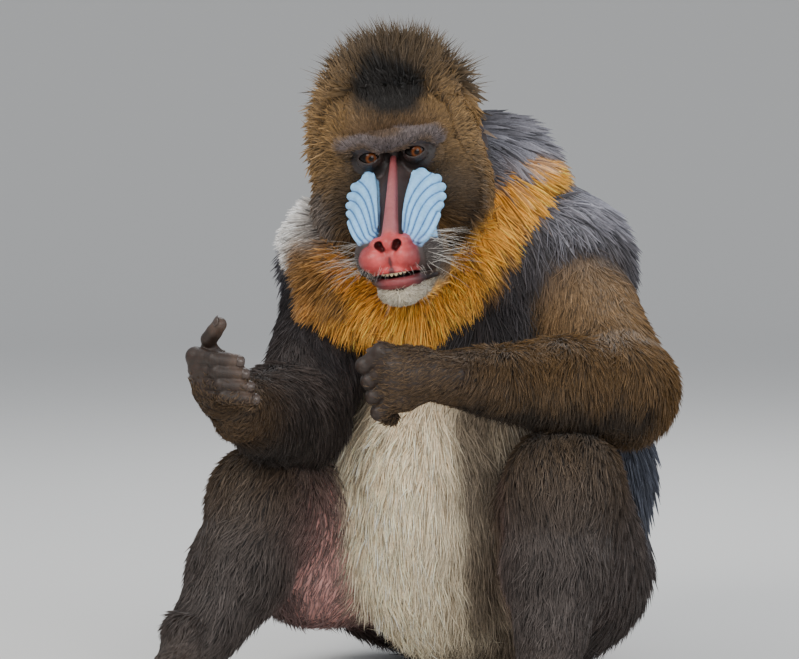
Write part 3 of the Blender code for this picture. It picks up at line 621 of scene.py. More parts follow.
COATS = {
    "olive": (shade(56, 41, 22), shade(114, 84, 46)),
    "forehead": (shade(7, 5, 3), shade(20, 14, 9)),
    "crown": (shade(62, 50, 36), shade(92, 76, 56)),
    "temple": (shade(78, 60, 36), shade(158, 124, 78)),
    "cheek": (shade(50, 38, 27), shade(94, 75, 52)),
    "dusk": (shade(16, 11, 7), shade(40, 29, 19)),
    "brow": (shade(58, 50, 49), shade(122, 110, 108)),
    "muzzle": (shade(38, 32, 30), shade(82, 74, 70)),
    "whisker": (shade(44, 38, 36), shade(96, 88, 84)),
    "haze": (shade(66, 60, 56), shade(120, 110, 104)),
    "chin": (shade(176, 160, 134), shade(240, 230, 208)),
    "orange": (shade(186, 124, 44), shade(240, 172, 70)),
    "amber": (shade(98, 70, 38), shade(156, 114, 60)),
    "gold": (shade(212, 138, 36), shade(250, 190, 78)),
    "pale": (shade(190, 184, 180), shade(255, 252, 248)),
    "ash": (shade(84, 84, 92), shade(172, 172, 184)),
    "charcoal": (shade(18, 15, 16), shade(50, 44, 46)),
    "slate": (shade(34, 36, 43), shade(78, 82, 94)),
    "speckle": (shade(68, 52, 35), shade(162, 130, 92)),
    "arm": (shade(44, 32, 18), shade(112, 84, 48)),
    "dim": (shade(36, 30, 28), shade(78, 68, 64)),
    # The under coat: painted shade on the undersides of the forearms
    "under": (shade(14, 10, 7), shade(28, 21, 14)),
    "elbow": (shade(14, 10, 6), shade(36, 26, 17)),
    "cuff": (shade(40, 30, 21), shade(92, 71, 48)),
    "hand": (shade(44, 33, 23), shade(104, 82, 57)),
    "foot": (shade(52, 44, 40), shade(110, 96, 86)),
    "leg": (shade(34, 29, 27), shade(86, 77, 73)),
    "knee": (shade(44, 35, 28), shade(96, 78, 57)),
    "thigh": (shade(112, 86, 84), shade(158, 126, 122)),
    "cream": (shade(240, 210, 168), shade(255, 244, 216)),
    "taupe": (shade(66, 55, 44), shade(112, 96, 79)),
}

# The coat, place by place: where, which coat, hair length, tuft width, lift in degrees, lie, how full it is
HEAD_COAT = [
    ((0.000, -0.0150, 0.0150), "brow", 0.0028, 0.0006, 22, (0.0, 0.25, 1.0), 1.0),
    ((0.026, -0.0100, 0.0160), "brow", 0.0030, 0.0006, 22, (0.5, 0.25, 1.0), 1.0),
    ((0.000, -0.0120, 0.0280), "olive", 0.0070, 0.0008, 24, (0.0, 0.25, 1.0), 1.0),
    ((0.024, -0.0080, 0.0300), "olive", 0.0080, 0.0008, 24, (0.2, 0.3, 1.0), 1.0),
    ((0.000, -0.0040, 0.0500), "forehead", 0.0150, 0.0009, 36, (0.0, 0.2, 1.0), 1.0),
    ((0.022, -0.0010, 0.0500), "forehead", 0.0150, 0.0009, 36, (0.15, 0.25, 1.0), 1.0),
    ((0.000, 0.0120, 0.0720), "forehead", 0.0300, 0.0011, 52, (0.0, 0.1, 1.0), 1.0),
    ((0.024, 0.0160, 0.0680), "forehead", 0.0300, 0.0011, 50, (0.25, 0.1, 1.0), 1.0),
    ((0.042, 0.0020, 0.0360), "temple", 0.0095, 0.0008, 24, (0.4, 0.6, 0.9), 1.0),
    ((0.048, 0.0220, 0.0560), "temple", 0.0260, 0.0011, 38, (0.7, 0.4, 0.9), 1.0),
    ((0.000, 0.0400, 0.0860), "crown", 0.0440, 0.0012, 62, (0.0, -0.05, 1.0), 1.0),
    ((0.036, 0.0440, 0.0760), "crown", 0.0430, 0.0012, 56, (0.45, 0.1, 1.0), 1.0),
    ((0.000, 0.0800, 0.0900), "crown", 0.0500, 0.0013, 60, (0.0, 0.3, 1.0), 1.0),
    ((0.040, 0.0900, 0.0760), "crown", 0.0460, 0.0013, 50, (0.5, 0.4, 0.9), 1.0),
    ((0.000, 0.1280, 0.0600), "crown", 0.0500, 0.0014, 40, (0.0, 0.9, 0.3), 1.0),
    ((0.000, 0.1450, 0.0000), "charcoal", 0.0560, 0.0015, 26, (0.0, 0.7, -0.8), 1.0),
    ((0.064, 0.0450, 0.0450), "temple", 0.0300, 0.0012, 38, (0.9, 0.5, 0.5), 1.0),
    ((0.072, 0.0700, 0.0200), "temple", 0.0360, 0.0013, 38, (0.9, 0.8, 0.1), 1.0),
    ((0.054, 0.0200, 0.0050), "temple", 0.0190, 0.0011, 36, (0.7, 0.8, 0.1), 1.0),
    ((0.074, 0.0600, -0.0300), "temple", 0.0360, 0.0012, 36, (0.9, 0.6, -0.3), 1.0),
    ((0.060, 0.0280, -0.0420), "cheek", 0.0290, 0.0011, 34, (0.8, 0.6, -0.5), 1.0),
    ((0.054, 0.0400, -0.0800), "amber", 0.0360, 0.0012, 32, (0.7, 0.3, -0.9), 1.0),
    ((0.046, 0.0060, -0.0120), "dusk", 0.0090, 0.0008, 18, (0.6, 0.9, -0.2), 1.0),
]
MUZZLE_COAT = [
    ((0.050, 0.0350, -0.0300), "dusk", 0.0100, 0.0008, 18, (0.7, -1.0, 0.0), 1.0),
    ((0.046, 0.0780, -0.0340), "muzzle", 0.0060, 0.0007, 14, (0.5, -1.0, -0.1), 0.9),
    ((0.036, 0.0980, -0.0330), "whisker", 0.0040, 0.0006, 14, (0.5, -1.0, -0.1), 0.60),
    ((0.030, 0.1180, -0.0330), "whisker", 0.0034, 0.0006, 16, (0.5, -0.8, -0.4), 0.50),
    ((0.044, 0.0500, -0.0640), "cheek", 0.0200, 0.0009, 24, (0.6, -1.0, -0.4), 1.0),
    ((0.034, 0.0880, -0.0600), "muzzle", 0.0070, 0.0008, 20, (0.5, -1.0, -0.4), 1.0),
    ((0.000, 0.1280, -0.0560), "chin", 0.0070, 0.0007, 30, (0.0, -0.5, -1.0), 0.9),
    ((0.016, 0.1180, -0.0620), "chin", 0.0090, 0.0008, 30, (0.3, -0.6, -1.0), 1.0),
    ((0.000, 0.0950, -0.0820), "chin", 0.0180, 0.0010, 32, (0.0, -0.8, -0.8), 1.0),
    ((0.000, 0.0500, -0.0920), "orange", 0.0340, 0.0012, 32, (0.0, -0.8, -0.9), 1.0),
]


# The belly's coat: where from its middle, and which
BELLY_COAT = [
    (-0.050, -0.075, 0.090, "cream"),
    (0.000, -0.085, 0.095, "cream"),
    (-0.095, -0.040, 0.040, "cream"),
    (-0.090, -0.050, -0.030, "cream"),
    (-0.045, -0.090, 0.020, "cream"),
    (-0.040, -0.085, -0.070, "cream"),
    (0.005, -0.095, 0.030, "cream"),
    (0.010, -0.090, -0.060, "cream"),
    (0.055, -0.080, 0.060, "taupe"),
    (0.060, -0.075, -0.010, "taupe"),
    (0.055, -0.070, -0.070, "taupe"),
    (-0.110, 0.020, 0.020, "slate"),
]


def body_coat():
    """The coat of the trunk and limbs, place by place, with the part that each place belongs to."""
    rows = []

    def grow(part, place, coat, length, width, lift, lie, full=1.0, reach=0.050):
        rows.append((part, place, coat, length, width, lift, Vector(lie), full, reach))

    def along_body(part, place, coat, length, width, lift, lie, full=1.0, reach=0.050):
        grow(part, place, coat, length, width, lift, BODY.to_3x3() @ Vector(lie), full, reach)

    trunk = "trunk"
    along_body(trunk, body(NAPE, 0.00, 0.07, 0.03), "charcoal", 0.064, 0.0016, 24, (0, 0.7, -0.7))
    for side in (1, -1):
        along_body(
            trunk, body(NAPE, side * 0.08, 0.02, 0.0), "ash", 0.050, 0.0013, 22, (side * 0.7, 0.4, -0.6),
        )
        along_body(
            trunk, body(CHEST, side * 0.14, 0.0, 0.0), "slate", 0.050, 0.0014, 14, (side * 0.1, 0.2, -1),
        )
        along_body(
            trunk, body(WAIST, side * 0.14, 0.0, 0.0), "slate", 0.056, 0.0014, 24, (side * 0.1, 0.2, -1),
        )
        along_body(
            trunk, body(PELVIS, side * 0.12, 0.04, 0.02), "slate", 0.046, 0.0014, 22,
            (side * 0.1, 0.2, -1),
        )
        along_body(
            trunk, body(CHEST, side * 0.09, -0.09, 0.05), "charcoal", 0.046, 0.0014, 20,
            (side * 0.2, 0, -1),
        )
        along_body(
            trunk, body(WAIST, side * 0.11, -0.06, 0.0), "slate", 0.040, 0.0014, 16, (side * 0.2, 0, -1),
        )
        along_body(
            trunk, body(PELVIS, side * 0.05, 0.12, -0.06), "thigh", 0.006, 0.0010, 10, (0, 0, -1),
            0.05, 0.026,
        )
    along_body(trunk, body(WITHERS, 0, 0.09, 0.02), "charcoal", 0.068, 0.0016, 20, (0, 0.5, -0.9))
    along_body(trunk, body(CHEST, 0, 0.13, 0.0), "slate", 0.058, 0.0016, 18, (0, 0.15, -1))
    along_body(trunk, body(WAIST, 0, 0.13, -0.02), "slate", 0.050, 0.0016, 16, (0, 0.1, -1))
    along_body(trunk, body(PELVIS, 0, 0.12, 0.04), "leg", 0.030, 0.0015, 14, (0, 0.2, -1))
    along_body(trunk, body(CHEST, 0, -0.11, 0.04), "charcoal", 0.044, 0.0014, 18, (0, 0, -1))
    for across, out, high, coat in BELLY_COAT:
        place = BELLY + Vector((across, out, high))
        grow(trunk, place, coat, 0.040, 0.0012, 16, Vector((across * 2.0, -0.04, -1)), 1.0, 0.036)
    along_body("tail", body(PELVIS, 0, 0.15, 0.08), "slate", 0.030, 0.0016, 26, (0, 0.3, 1))
    # The ruff, from the outside of the right cheek round under the chin to the left
    beard = "beard"
    grow(beard, Vector((-0.190, -0.050, 0.440)), "pale", 0.036, 0.0012, 28, (-1, 0.1, -0.1), 1, 0.022)
    grow(beard, Vector((-0.178, -0.080, 0.395)), "haze", 0.036, 0.0012, 28, (-0.9, 0, -0.4), 1, 0.022)
    grow(beard, Vector((-0.145, -0.120, 0.385)), "orange", 0.042, 0.0013, 34, (-0.6, -0.1, -0.8), 1, 0.024)
    grow(beard, Vector((-0.090, -0.135, 0.360)), "orange", 0.039, 0.0013, 32, (-0.1, -0.1, -1), 1, 0.026)
    grow(beard, Vector((-0.030, -0.115, 0.385)), "amber", 0.038, 0.0013, 30, (0.4, 0, -0.9), 1, 0.026)
    grow(beard, Vector((0.006, -0.080, 0.440)), "amber", 0.040, 0.0013, 30, (0.7, 0.1, -0.6), 1, 0.026)
    grow(beard, Vector((0.030, -0.060, 0.495)), "orange", 0.044, 0.0013, 30, (0.9, 0.3, -0.2), 1, 0.024)
    grow(beard, Vector((0.035, -0.020, 0.470)), "ash", 0.050, 0.0014, 34, (1, 0.3, -0.5), 1, 0.024)
    for name, side in SIDES.items():
        arm = "arm_" + name
        upper = (ELBOW[name] - SHOULDER[name]).normalized()
        fore = (WRIST[name] - ELBOW[name]).normalized()
        # On the right arm the charcoal over the upper arm is painted shade from the cheek above it; dim over
        # the forearm is its own grey-brown
        high, mid = {"left": ("speckle", "arm"), "right": ("charcoal", "dim")}[name]
        grow(arm, SHOULDER[name] + UP * 0.02, "charcoal", 0.034, 0.0013, 14, upper * 0.6 - UP * 0.7)
        grow(arm, SHOULDER[name].lerp(ELBOW[name], 0.55), high, 0.024, 0.0011, 18, upper * 0.6 - UP * 0.6)
        grow(arm, ELBOW[name] + UP * 0.03, mid, 0.024, 0.0011, 24, upper * 0.5 - UP * 0.8)
        grow(arm, ELBOW[name] - UP * 0.05, "elbow", 0.032, 0.0012, 30, upper * 0.4 - UP * 0.9, 1, 0.040)
        middle = ELBOW[name].lerp(WRIST[name], 0.5)
        grow(arm, middle + UP * 0.035, mid, 0.018, 0.0010, 22, UP * -0.8 + fore * 0.1, 1, 0.034)
        # Painted shade: the forearm's underside in the dark under coat
        grow(arm, middle - UP * 0.035, "under", 0.024, 0.0011, 26, UP * -0.9 - fore * 0.1, 1, 0.034)
        grow(arm, WRIST[name], "cuff", 0.010, 0.0009, 20, fore * 0.4 - UP * 0.5, 1, 0.030)
        knuckles = HANDS[name][1][1][0][0] - WRIST[name]
        grow(arm, WRIST[name] + knuckles * 0.8, "hand", 0.0050, 0.0008, 16, knuckles, 1, 0.024)
        leg = "leg_" + name
        thigh = (KNEE[name] - HIP[name]).normalized()
        shank = (ANKLE[name] - KNEE[name]).normalized()
        inside = Vector((-side, 0, 0)) * 0.07
        middle = HIP[name].lerp(KNEE[name], 0.5)
        outside = BODY.to_3x3() @ Vector((side * 0.08, 0.03, 0))
        grow(leg, HIP[name] + outside, "leg", 0.032, 0.0015, 18, thigh * 0.3 - UP)
        grow(leg, middle - inside + UP * 0.02, "leg", 0.028, 0.0013, 20, thigh * 0.4 - UP)
        grow(
            leg, middle + inside - UP * 0.01, "thigh", 0.018, 0.0010, 14, thigh * 0.5 - UP * 0.8,
            0.14, 0.045,
        )
        if name == "right":
            for place in ((-0.172, -0.120, 0.180), (-0.170, -0.115, 0.130), (-0.165, -0.100, 0.080)):
                grow(leg, Vector(place), "thigh", 0.018, 0.0009, 14, thigh * 0.3 - UP, 0.05, 0.026)
        grow(leg, KNEE[name] + UP * 0.04, "knee", 0.018, 0.0011, 22, thigh * 0.6 - UP * 0.6, 1, 0.040)
        grow(leg, KNEE[name].lerp(ANKLE[name], 0.4), "leg", 0.024, 0.0012, 20, shank)
        grow(leg, ANKLE[name], "leg", 0.010, 0.0010, 16, shank, 1, 0.030)
        instep = ANKLE[name].lerp(TOES[name], 0.45)
        grow(leg, instep, "foot", 0.0065, 0.0009, 14, TOES[name] - ANKLE[name], 1, 0.030)
    return rows


def head_coat():
    """The coat of the head, both sides, in the same form as the body's."""
    rows = []
    for frame_of, places, flip in ((HEAD, HEAD_COAT, 1), (MUZZLE, MUZZLE_COAT, -1)):
        for (side, back, up), coat, length, width, lift, lie, full in places:
            for mirror in (1, -1) if side else (1,):
                place = frame_of @ Vector((side * mirror, back * flip, up))
                way = frame_of.to_3x3() @ Vector((lie[0] * mirror, lie[1] * flip, lie[2]))
                trim = 0.55 if mirror == 1 and side > 0.045 else 1.0
                reach = {"brow": 0.010, "chin": 0.011, "whisker": 0.014}.get(coat, 0.019)
                flat = lift * (0.4 + 0.6 * trim)
                rows.append(("head", place, coat, length * trim, width, flat, way, full, reach))
    return rows


# Markings that cross from one part to another, some of them painted shade: a coat, how strong, and the bent
# line that it follows
MARKS = [
    (
        "forehead", 1.0,
        [
            ((-0.114, -0.140, 0.575), 0.021), ((-0.102, -0.140, 0.583), 0.020),
            ((-0.088, -0.140, 0.575), 0.021), ((-0.114, -0.140, 0.575), 0.021),
        ],
    ),
    (
        "dusk", 1.0,
        [
            ((-0.018, -0.070, 0.508), 0.010), ((-0.024, -0.070, 0.458), 0.018),
            ((-0.041, -0.090, 0.424), 0.013),
        ],
    ),
    (
        "dusk", 0.7,
        [
            ((0.008, -0.060, 0.518), 0.006), ((0.009, -0.060, 0.479), 0.008),
            ((-0.008, -0.070, 0.448), 0.008),
        ],
    ),
    (
        "gold", 0.95,
        [
            ((0.055, -0.030, 0.496), 0.012), ((0.041, -0.045, 0.466), 0.016),
            ((0.009, -0.060, 0.438), 0.021), ((-0.016, -0.080, 0.418), 0.021),
            ((-0.032, -0.100, 0.386), 0.020), ((-0.050, -0.120, 0.372), 0.019),
        ],
    ),
    (
        "gold", 0.9,
        [
            ((-0.050, -0.130, 0.372), 0.019), ((-0.085, -0.135, 0.357), 0.019),
            ((-0.125, -0.135, 0.361), 0.019), ((-0.149, -0.120, 0.376), 0.018),
        ],
    ),
    (
        "amber", 0.85,
        [
            ((-0.149, -0.120, 0.376), 0.018), ((-0.168, -0.100, 0.395), 0.016),
            ((-0.182, -0.080, 0.418), 0.012),
        ],
    ),
    (
        "charcoal", 0.95,
        [
            ((-0.044, -0.100, 0.324), 0.012), ((-0.005, -0.080, 0.356), 0.019),
            ((0.027, -0.050, 0.383), 0.017), ((0.059, -0.030, 0.424), 0.011),
        ],
    ),
    (
        "charcoal", 0.95,
        [
            ((-0.185, -0.100, 0.349), 0.012), ((-0.153, -0.100, 0.319), 0.015),
            ((-0.122, -0.100, 0.309), 0.008),
        ],
    ),
    (
        "slate", 0.9,
        [
            ((0.097, 0.000, 0.428), 0.014), ((0.114, 0.000, 0.392), 0.020),
            ((0.134, 0.000, 0.372), 0.014),
        ],
    ),
    (
        "haze", 0.85,
        [
            ((-0.168, -0.100, 0.470), 0.008), ((-0.164, -0.110, 0.440), 0.012),
        ],
    ),
    (
        "pale", 0.95,
        [
            ((-0.203, -0.030, 0.488), 0.007), ((-0.207, -0.040, 0.454), 0.009),
            ((-0.208, -0.050, 0.425), 0.006),
        ],
    ),
    # Taupe down the belly's side: its own greyer flank, darkened further as painted shadow of the left arm
    (
        "taupe", 0.8,
        [
            ((-0.020, -0.150, 0.255), 0.020), ((-0.011, -0.160, 0.171), 0.018),
            ((-0.010, -0.150, 0.075), 0.016),
        ],
    ),
    # Painted shade along the underside of the left forearm
    (
        "under", 0.8,
        [
            ((-0.026, -0.240, 0.280), 0.009), ((0.058, -0.220, 0.273), 0.011),
            ((0.134, -0.180, 0.273), 0.016),
        ],
    ),
    (
        "brow", 1.0,
        [
            (HEAD @ Vector((-0.045, -0.004, 0.013)), 0.0070),
            (HEAD @ Vector((0, -0.016, 0.0125)), 0.0078),
            (HEAD @ Vector((0.045, -0.004, 0.013)), 0.0070),
        ],
    ),
]
MARK_DEPTH = 0.2
MARK_EDGE = 0.008


COAT_PLACES = body_coat() + head_coat()
COAT_PARTS = ["trunk", "tail", "beard", "arm_left", "arm_right", "leg_left", "leg_right", "head"]


def part_gaps(points):
    """How far each point is from each part of the coat, less its distance from the nearest."""
    gaps = []
    for part in COAT_PARTS:
        forms, blend = PARTS["skull" if part == "head" else part]
        near = melted(points, forms, blend)
        if part == "head":
            near = np.minimum(near, bare_face(in_head(points)))
        gaps.append(near)
    gaps = np.stack(gaps, 1)
    return gaps - gaps.min(1, keepdims=True)


def in_head(points):
    """World points in the head's axes."""
    back = np.array(HEAD.inverted(), np.float32)
    return points @ back[:3, :3].T + back[:3, 3]


def coat_at(points):
    """The coat at each point: root colour, tip colour, length, width, lift, lie, fullness and part."""
    gaps = part_gaps(points)
    total = np.full(len(points), 1e-9, np.float32)
    blended = np.zeros((len(points), 13), np.float32)
    for part, place, coat, length, width, lift, lie, full, reach in COAT_PLACES:
        off = points - np.array(place, np.float32)
        near = np.einsum("ij,ij->i", off, off) / (2 * reach * reach)
        weight = np.exp(-near - gaps[:, COAT_PARTS.index(part)] / 0.007) + 1e-8 / (1 + near)
        root, tip = COATS[coat]
        row = np.concatenate([root, tip, (length, width, lift), np.array(lie.normalized()), (full,)])
        blended += weight[:, None] * row.astype(np.float32)
        total += weight
    blended /= total[:, None]
    return blended, gaps.argmin(1)


def marked(points, coat):
    """The coat with its markings, some of them painted shade, which lie where the hair is seen rather than
    where it is rooted.
    """
    coat = coat.copy()
    squash = np.array((1, MARK_DEPTH, 1), np.float32)
    wavy = (points + 0.004 * waver(points, 0.05, 41)) * squash
    for name, strength, route in MARKS:
        distance = 1.0
        for (start, radius), (end, after) in zip(route, route[1:]):
            ends = (np.array(start, np.float32) * squash, np.array(end, np.float32) * squash)
            distance = np.minimum(distance, bar(wavy, *ends, radius, after))
        edge = 0.003 if name == "brow" else MARK_EDGE
        share = strength * (1 - smooth(-edge, edge, distance))
        coat[:, 0:6] = mixed(coat[:, 0:6], np.concatenate(COATS[name]), share)
    return coat


def waver(points, size, seed, count=7):
    """Smooth random values over the points, three for each, about -1 to 1."""
    source = np.random.default_rng(seed)
    total = np.zeros((len(points), 3), np.float32)
    for _ in range(count):
        way = source.normal(size=3)
        way *= source.uniform(0.6, 1.6) * 2 * math.pi / size / np.linalg.norm(way)
        wave = np.sin(points @ way.astype(np.float32) + source.uniform(0, 6.28))
        total += wave[:, None] * source.normal(size=3).astype(np.float32)
    return total / math.sqrt(count)


# Colours and bareness of the skin


def mixed(one, other, share):
    """Colours mixed point by point."""
    return one * (1 - share[:, None]) + other * share[:, None]


def face_skin(points):
    """The face's colours, how bare it is and how it shines, in the head's axes."""
    places = nose_down(points)
    along = np.stack([np.abs(places[:, 0]), places[:, 1], places[:, 2]], 1)
    mirrored = np.stack([np.abs(points[:, 0]), points[:, 1], points[:, 2]], 1)
    side, down = along[:, 0], along[:, 1]
    patchy = waver(points, 0.014, 52)[:, :1]

    def plain(red, green, blue):
        return np.tile(shade(red, green, blue), (len(points), 1))

    def inside(distance, soft):
        return 1 - smooth(0, soft, distance)

    colour = plain(62, 50, 48) * (1 + 0.16 * patchy)
    shine = np.full(len(points), 0.50, np.float32)
    brow = inside(bar(mirrored, *BROW, 0.0092, 0.0080), 0.003)
    colour = mixed(colour, plain(60, 50, 49) * (1 + 0.26 * patchy), brow)
    shine = shine + 0.14 * brow
    off = mirrored - np.array((EYE_SIDE, -0.001, 0), np.float32)
    reach = np.sqrt(np.einsum("ij,ij->i", off, off))
    # The sockets: their own dark skin, made darker still as painted shade under the brow, less on the brow
    # itself
    colour = mixed(colour, shade(24, 18, 16), 0.95 * inside(reach - 0.0145, 0.0085) * (1 - 0.7 * brow))
    lid = inside(reach - 0.0126, 0.0022) * inside(np.abs(off[:, 2]) - 0.0060, 0.004)
    colour = mixed(colour, shade(48, 37, 34), lid)
    bare = np.maximum(0.30 * brow, inside(reach - 0.0165, 0.0040))
    edge = np.interp(down, BARE_ALONG, BARE_SIDE)
    middle = inside(side - edge + 0.0012, 0.0024) * smooth(-0.034, -0.028, places[:, 2])
    bare = np.maximum(bare, middle * inside(-0.008 - down, 0.004) * inside(places[:, 2] - 0.009, 0.003))
    # Blue cheeks: pale on the ridges, deep in the grooves, where the deeper blue is partly the skin's own
    # and partly painted shade
    ridges, groove = ridge_field(places)
    blue = mixed(plain(146, 204, 250), shade(40, 84, 140), groove)
    blue = mixed(blue, shade(130, 130, 164), 0.35 * smooth(0.094, 0.112, down))
    blue = blue * (1 + 0.06 * patchy)
    low = cheek_down(places)
    inner, outer = np.interp(low, FIELD_ALONG, FIELD_INNER), np.interp(low, FIELD_ALONG, FIELD_OUTER)
    tops = smooth(0.014, 0.018, low) * inside(low - 0.109, 0.003) * smooth(-0.0004, 0.0010, side - inner)
    field = inside(side - outer - 0.0002, 0.0014) * smooth(0.0215, 0.0235, low)
    field = np.maximum(field, inside(ridges - 0.0003, 0.0010))
    field = field * tops * smooth(-0.0290, -0.0265, places[:, 2])
    colour = mixed(colour, blue, field)
    bare = np.maximum(bare, smooth(0.1, 0.5, field))
    # The red strip, from between the eyes to the pink end of the nose
    red = mixed(plain(120, 76, 76), shade(250, 174, 176), smooth(0.004, 0.060, down)) * (1 + 0.16 * patchy)
    # A deeper red over the strip: its own richer red, and painted shade meant for its sides
    red = mixed(red, shade(130, 58, 60), 0.8 * smooth(-0.0032, -0.0004, bridge(places)))
    red = mixed(red, shade(206, 92, 86), smooth(0.096, 0.112, down))
    colour = mixed(colour, red, inside(bridge(places) - 0.0003, 0.0016))
    upper, lower = lip(mirrored, *UPPER_LIP), lip(mirrored, *LOWER_LIP)
    pad = inside(np.minimum(nose_end(points, mirrored), upper) - 0.0006, 0.0014)
    pad = pad * inside(pad_side(points) - 0.0232, 0.0036)
    flush = mixed(plain(190, 74, 73), shade(122, 56, 58), smooth(0.011, 0.026, pad_side(points)))
    colour = mixed(colour, flush * (1 + 0.14 * patchy), pad)
    # Painted shade down the groove of the philtrum, on the pads
    colour = mixed(colour, shade(92, 36, 38), pad * inside(bar(points, *PHILTRUM, 0.0016, 0.0026), 0.0010))
    # Painted shade inside the nostrils
    colour = mixed(colour, shade(30, 9, 10), inside(nostrils(mirrored) + 0.0004, 0.0018))
    # The lips: pink in front, dark at the corners
    lips = inside(np.minimum(upper, lower) - 0.0004, 0.0022)
    pink = mixed(plain(142, 68, 70), shade(44, 39, 41), smooth(0.008, 0.026, side))
    colour = mixed(colour, pink, lips * (1 - pad))
    # Painted shade inside the open mouth, behind the lips
    depth = points[:, 1] + 0.0830 - 0.040 * (side / LIP_SIDE) ** 2
    mouth = inside(np.abs(points[:, 2] - LIP_LEVEL) - gape(mirrored), 0.0008) * smooth(0.0030, 0.0050, depth)
    colour = mixed(colour, shade(46, 16, 18), mouth * inside(side - LIP_SIDE, 0.002))
    within = (np.abs(points[:, 2] - LIP_LEVEL) < 0.0050) & (side < LIP_SIDE + 0.003)
    within &= points[:, 1] < -0.034
    bare = np.maximum(np.maximum(bare, within), np.maximum(pad, lips))
    colour = mixed(colour, shade(42, 32, 24), 0.85 * (1 - bare))
    return colour, bare, shine - 0.14 * np.maximum(pad, lips)


def body_skin(points):
    """The colours of the skin under the coat: the coat's own at its root, with pink on the inner thighs."""
    coat = coat_at(points)[0]
    colour = marked(points, coat)[:, 0:3] * 0.75
    sparse = 1 - np.clip(coat[:, 12], 0, 1)
    pink = np.tile(shade(216, 160, 152), (len(points), 1))
    colour = mixed(colour, pink, smooth(0.25, 0.75, sparse))
    for side in SIDES.values():
        pad = egg(points, body(PELVIS, side * 0.045, 0.105, -0.075), (0.040, 0.040, 0.040))
        colour = mixed(colour, shade(186, 110, 118), 1 - smooth(-0.004, 0.006, pad))
    return colour


def hand_skin(points, forms):
    """The colours of a hand or foot, with painted shade in the creases of the joints, and paler at the tips.
    """
    _, fingers = forms
    colour = np.tile(shade(47, 35, 28), (len(points), 1))
    for joints, _ in fingers:
        start, bend, end = (np.array(joint, np.float32) for joint in joints)
        off = points - end
        tip = 1 - smooth(0.006, 0.014, np.sqrt(np.einsum("ij,ij->i", off, off)))
        colour = mixed(colour, shade(76, 60, 50), tip * 0.8)
        axis = (end - start) / np.linalg.norm(end - start)
        # Painted shade in the creases over the middle joint: dark stripes across the digit
        near = 1 - smooth(0.009, 0.013, np.sqrt(np.einsum("ij,ij->i", points - bend, points - bend)))
        crease = 0.5 + 0.5 * np.sin((points - bend) @ axis * 2100)
        colour = mixed(colour, shade(30, 23, 19), near * crease**3 * 0.7)
    return colour * (1 + 0.12 * waver(points, 0.010, 21)[:, :1])


# Meshes


def mesh_from(name, points, faces, size, smoothed=True):
    """A mesh from arrays, with faces of one size."""
    mesh = bpy.data.meshes.new(name)
    mesh.vertices.add(len(points))
    mesh.vertices.foreach_set("co", np.ascontiguousarray(points, np.float32).ravel())
    mesh.loops.add(faces.size)
    mesh.loops.foreach_set("vertex_index", np.ascontiguousarray(faces, np.int32).ravel())
    mesh.polygons.add(len(faces))
    mesh.polygons.foreach_set("loop_start", np.arange(0, faces.size, size, dtype=np.int32))
    mesh.update(calc_edges=True)
    mesh.polygons.foreach_set("use_smooth", np.full(len(faces), smoothed))
    return mesh


def tint(mesh, name, colours):
    """Stores a colour for each point of the mesh."""
    layer = mesh.attributes.new(name, "FLOAT_COLOR", "POINT")
    values = np.ones((len(colours), 4), np.float32)
    values[:, :3] = np.clip(colours, 0, 1)
    layer.data.foreach_set("color", values.ravel())


def measure(mesh, name, values):
    """Stores a number for each point of the mesh."""
    layer = mesh.attributes.new(name, "FLOAT", "POINT")
    layer.data.foreach_set("value", np.ascontiguousarray(values, np.float32))


def piece(name, mesh, material, slot, replaced=()):
    """A piece of the animal, in place, with its finish, riding on the body."""
    obj = bpy.data.objects.new(name, mesh)
    bpy.context.scene.collection.objects.link(obj)
    mesh.materials.append(material)
    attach(obj, "root")
    if replaced:
        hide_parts(*replaced)
    return obj


def joined(shells):
    """Several shells as one: points, faces and what each point carries."""
    points, faces, carried = [], [], []
    count = 0
    for shell in shells:
        points.append(shell["points"])
        faces.append(shell["faces"] + count)
        carried.append(np.column_stack([shell["colour"], shell["shine"]]))
        count += len(shell["points"])
    return np.concatenate(points), np.concatenate(faces), np.concatenate(carried)


def normals_of(points, quads):
    """A normal at each point."""
    diagonal = np.cross(points[quads[:, 2]] - points[quads[:, 0]], points[quads[:, 3]] - points[quads[:, 1]])
    normals = np.zeros_like(points)
    for corner in range(4):
        np.add.at(normals, quads[:, corner], diagonal)
    return normals / (np.linalg.norm(normals, axis=1, keepdims=True) + 1e-12)


# Making the coat


def seeded_roots(shell, weight, count):
    """Places spread evenly over a shell by weight, with the skin's own direction at each."""
    triangles = shell["triangles"]
    corners = shell["points"][triangles]
    area = np.linalg.norm(np.cross(corners[:, 1] - corners[:, 0], corners[:, 2] - corners[:, 0]), axis=1)
    running = np.cumsum(area * weight)
    picks = (np.arange(count) + draw.random(count)) / count * running[-1]
    chosen = np.minimum(np.searchsorted(running, picks), len(triangles) - 1)
    one, two = draw.random(count), draw.random(count)
    flip = one + two > 1
    one[flip], two[flip] = 1 - one[flip], 1 - two[flip]
    share = np.stack([1 - one - two, one, two], 1).astype(np.float32)
    roots = np.einsum("ij,ijk->ik", share, corners[chosen])
    normals = np.einsum("ij,ijk->ik", share, shell["normals"][triangles[chosen]])
    return roots, normals / (np.linalg.norm(normals, axis=1, keepdims=True) + 1e-9)


def unit(vectors):
    """Vectors of length one."""
    return vectors / (np.linalg.norm(vectors, axis=1, keepdims=True) + 1e-9)


def hashed(cells, seed):
    """Random values for whole-numbered cells, three for each, -1 to 1."""
    mix = cells.astype(np.int64) @ np.array([73856093, 19349663, 83492791], np.int64) + seed * 2654435761
    mix = (mix % 1000003).astype(np.float64)
    values = [np.modf(np.sin(mix * (12.9898 + 7.1 * axis)) * 43758.5453)[0] for axis in range(3)]
    return np.stack(values, 1).astype(np.float32)


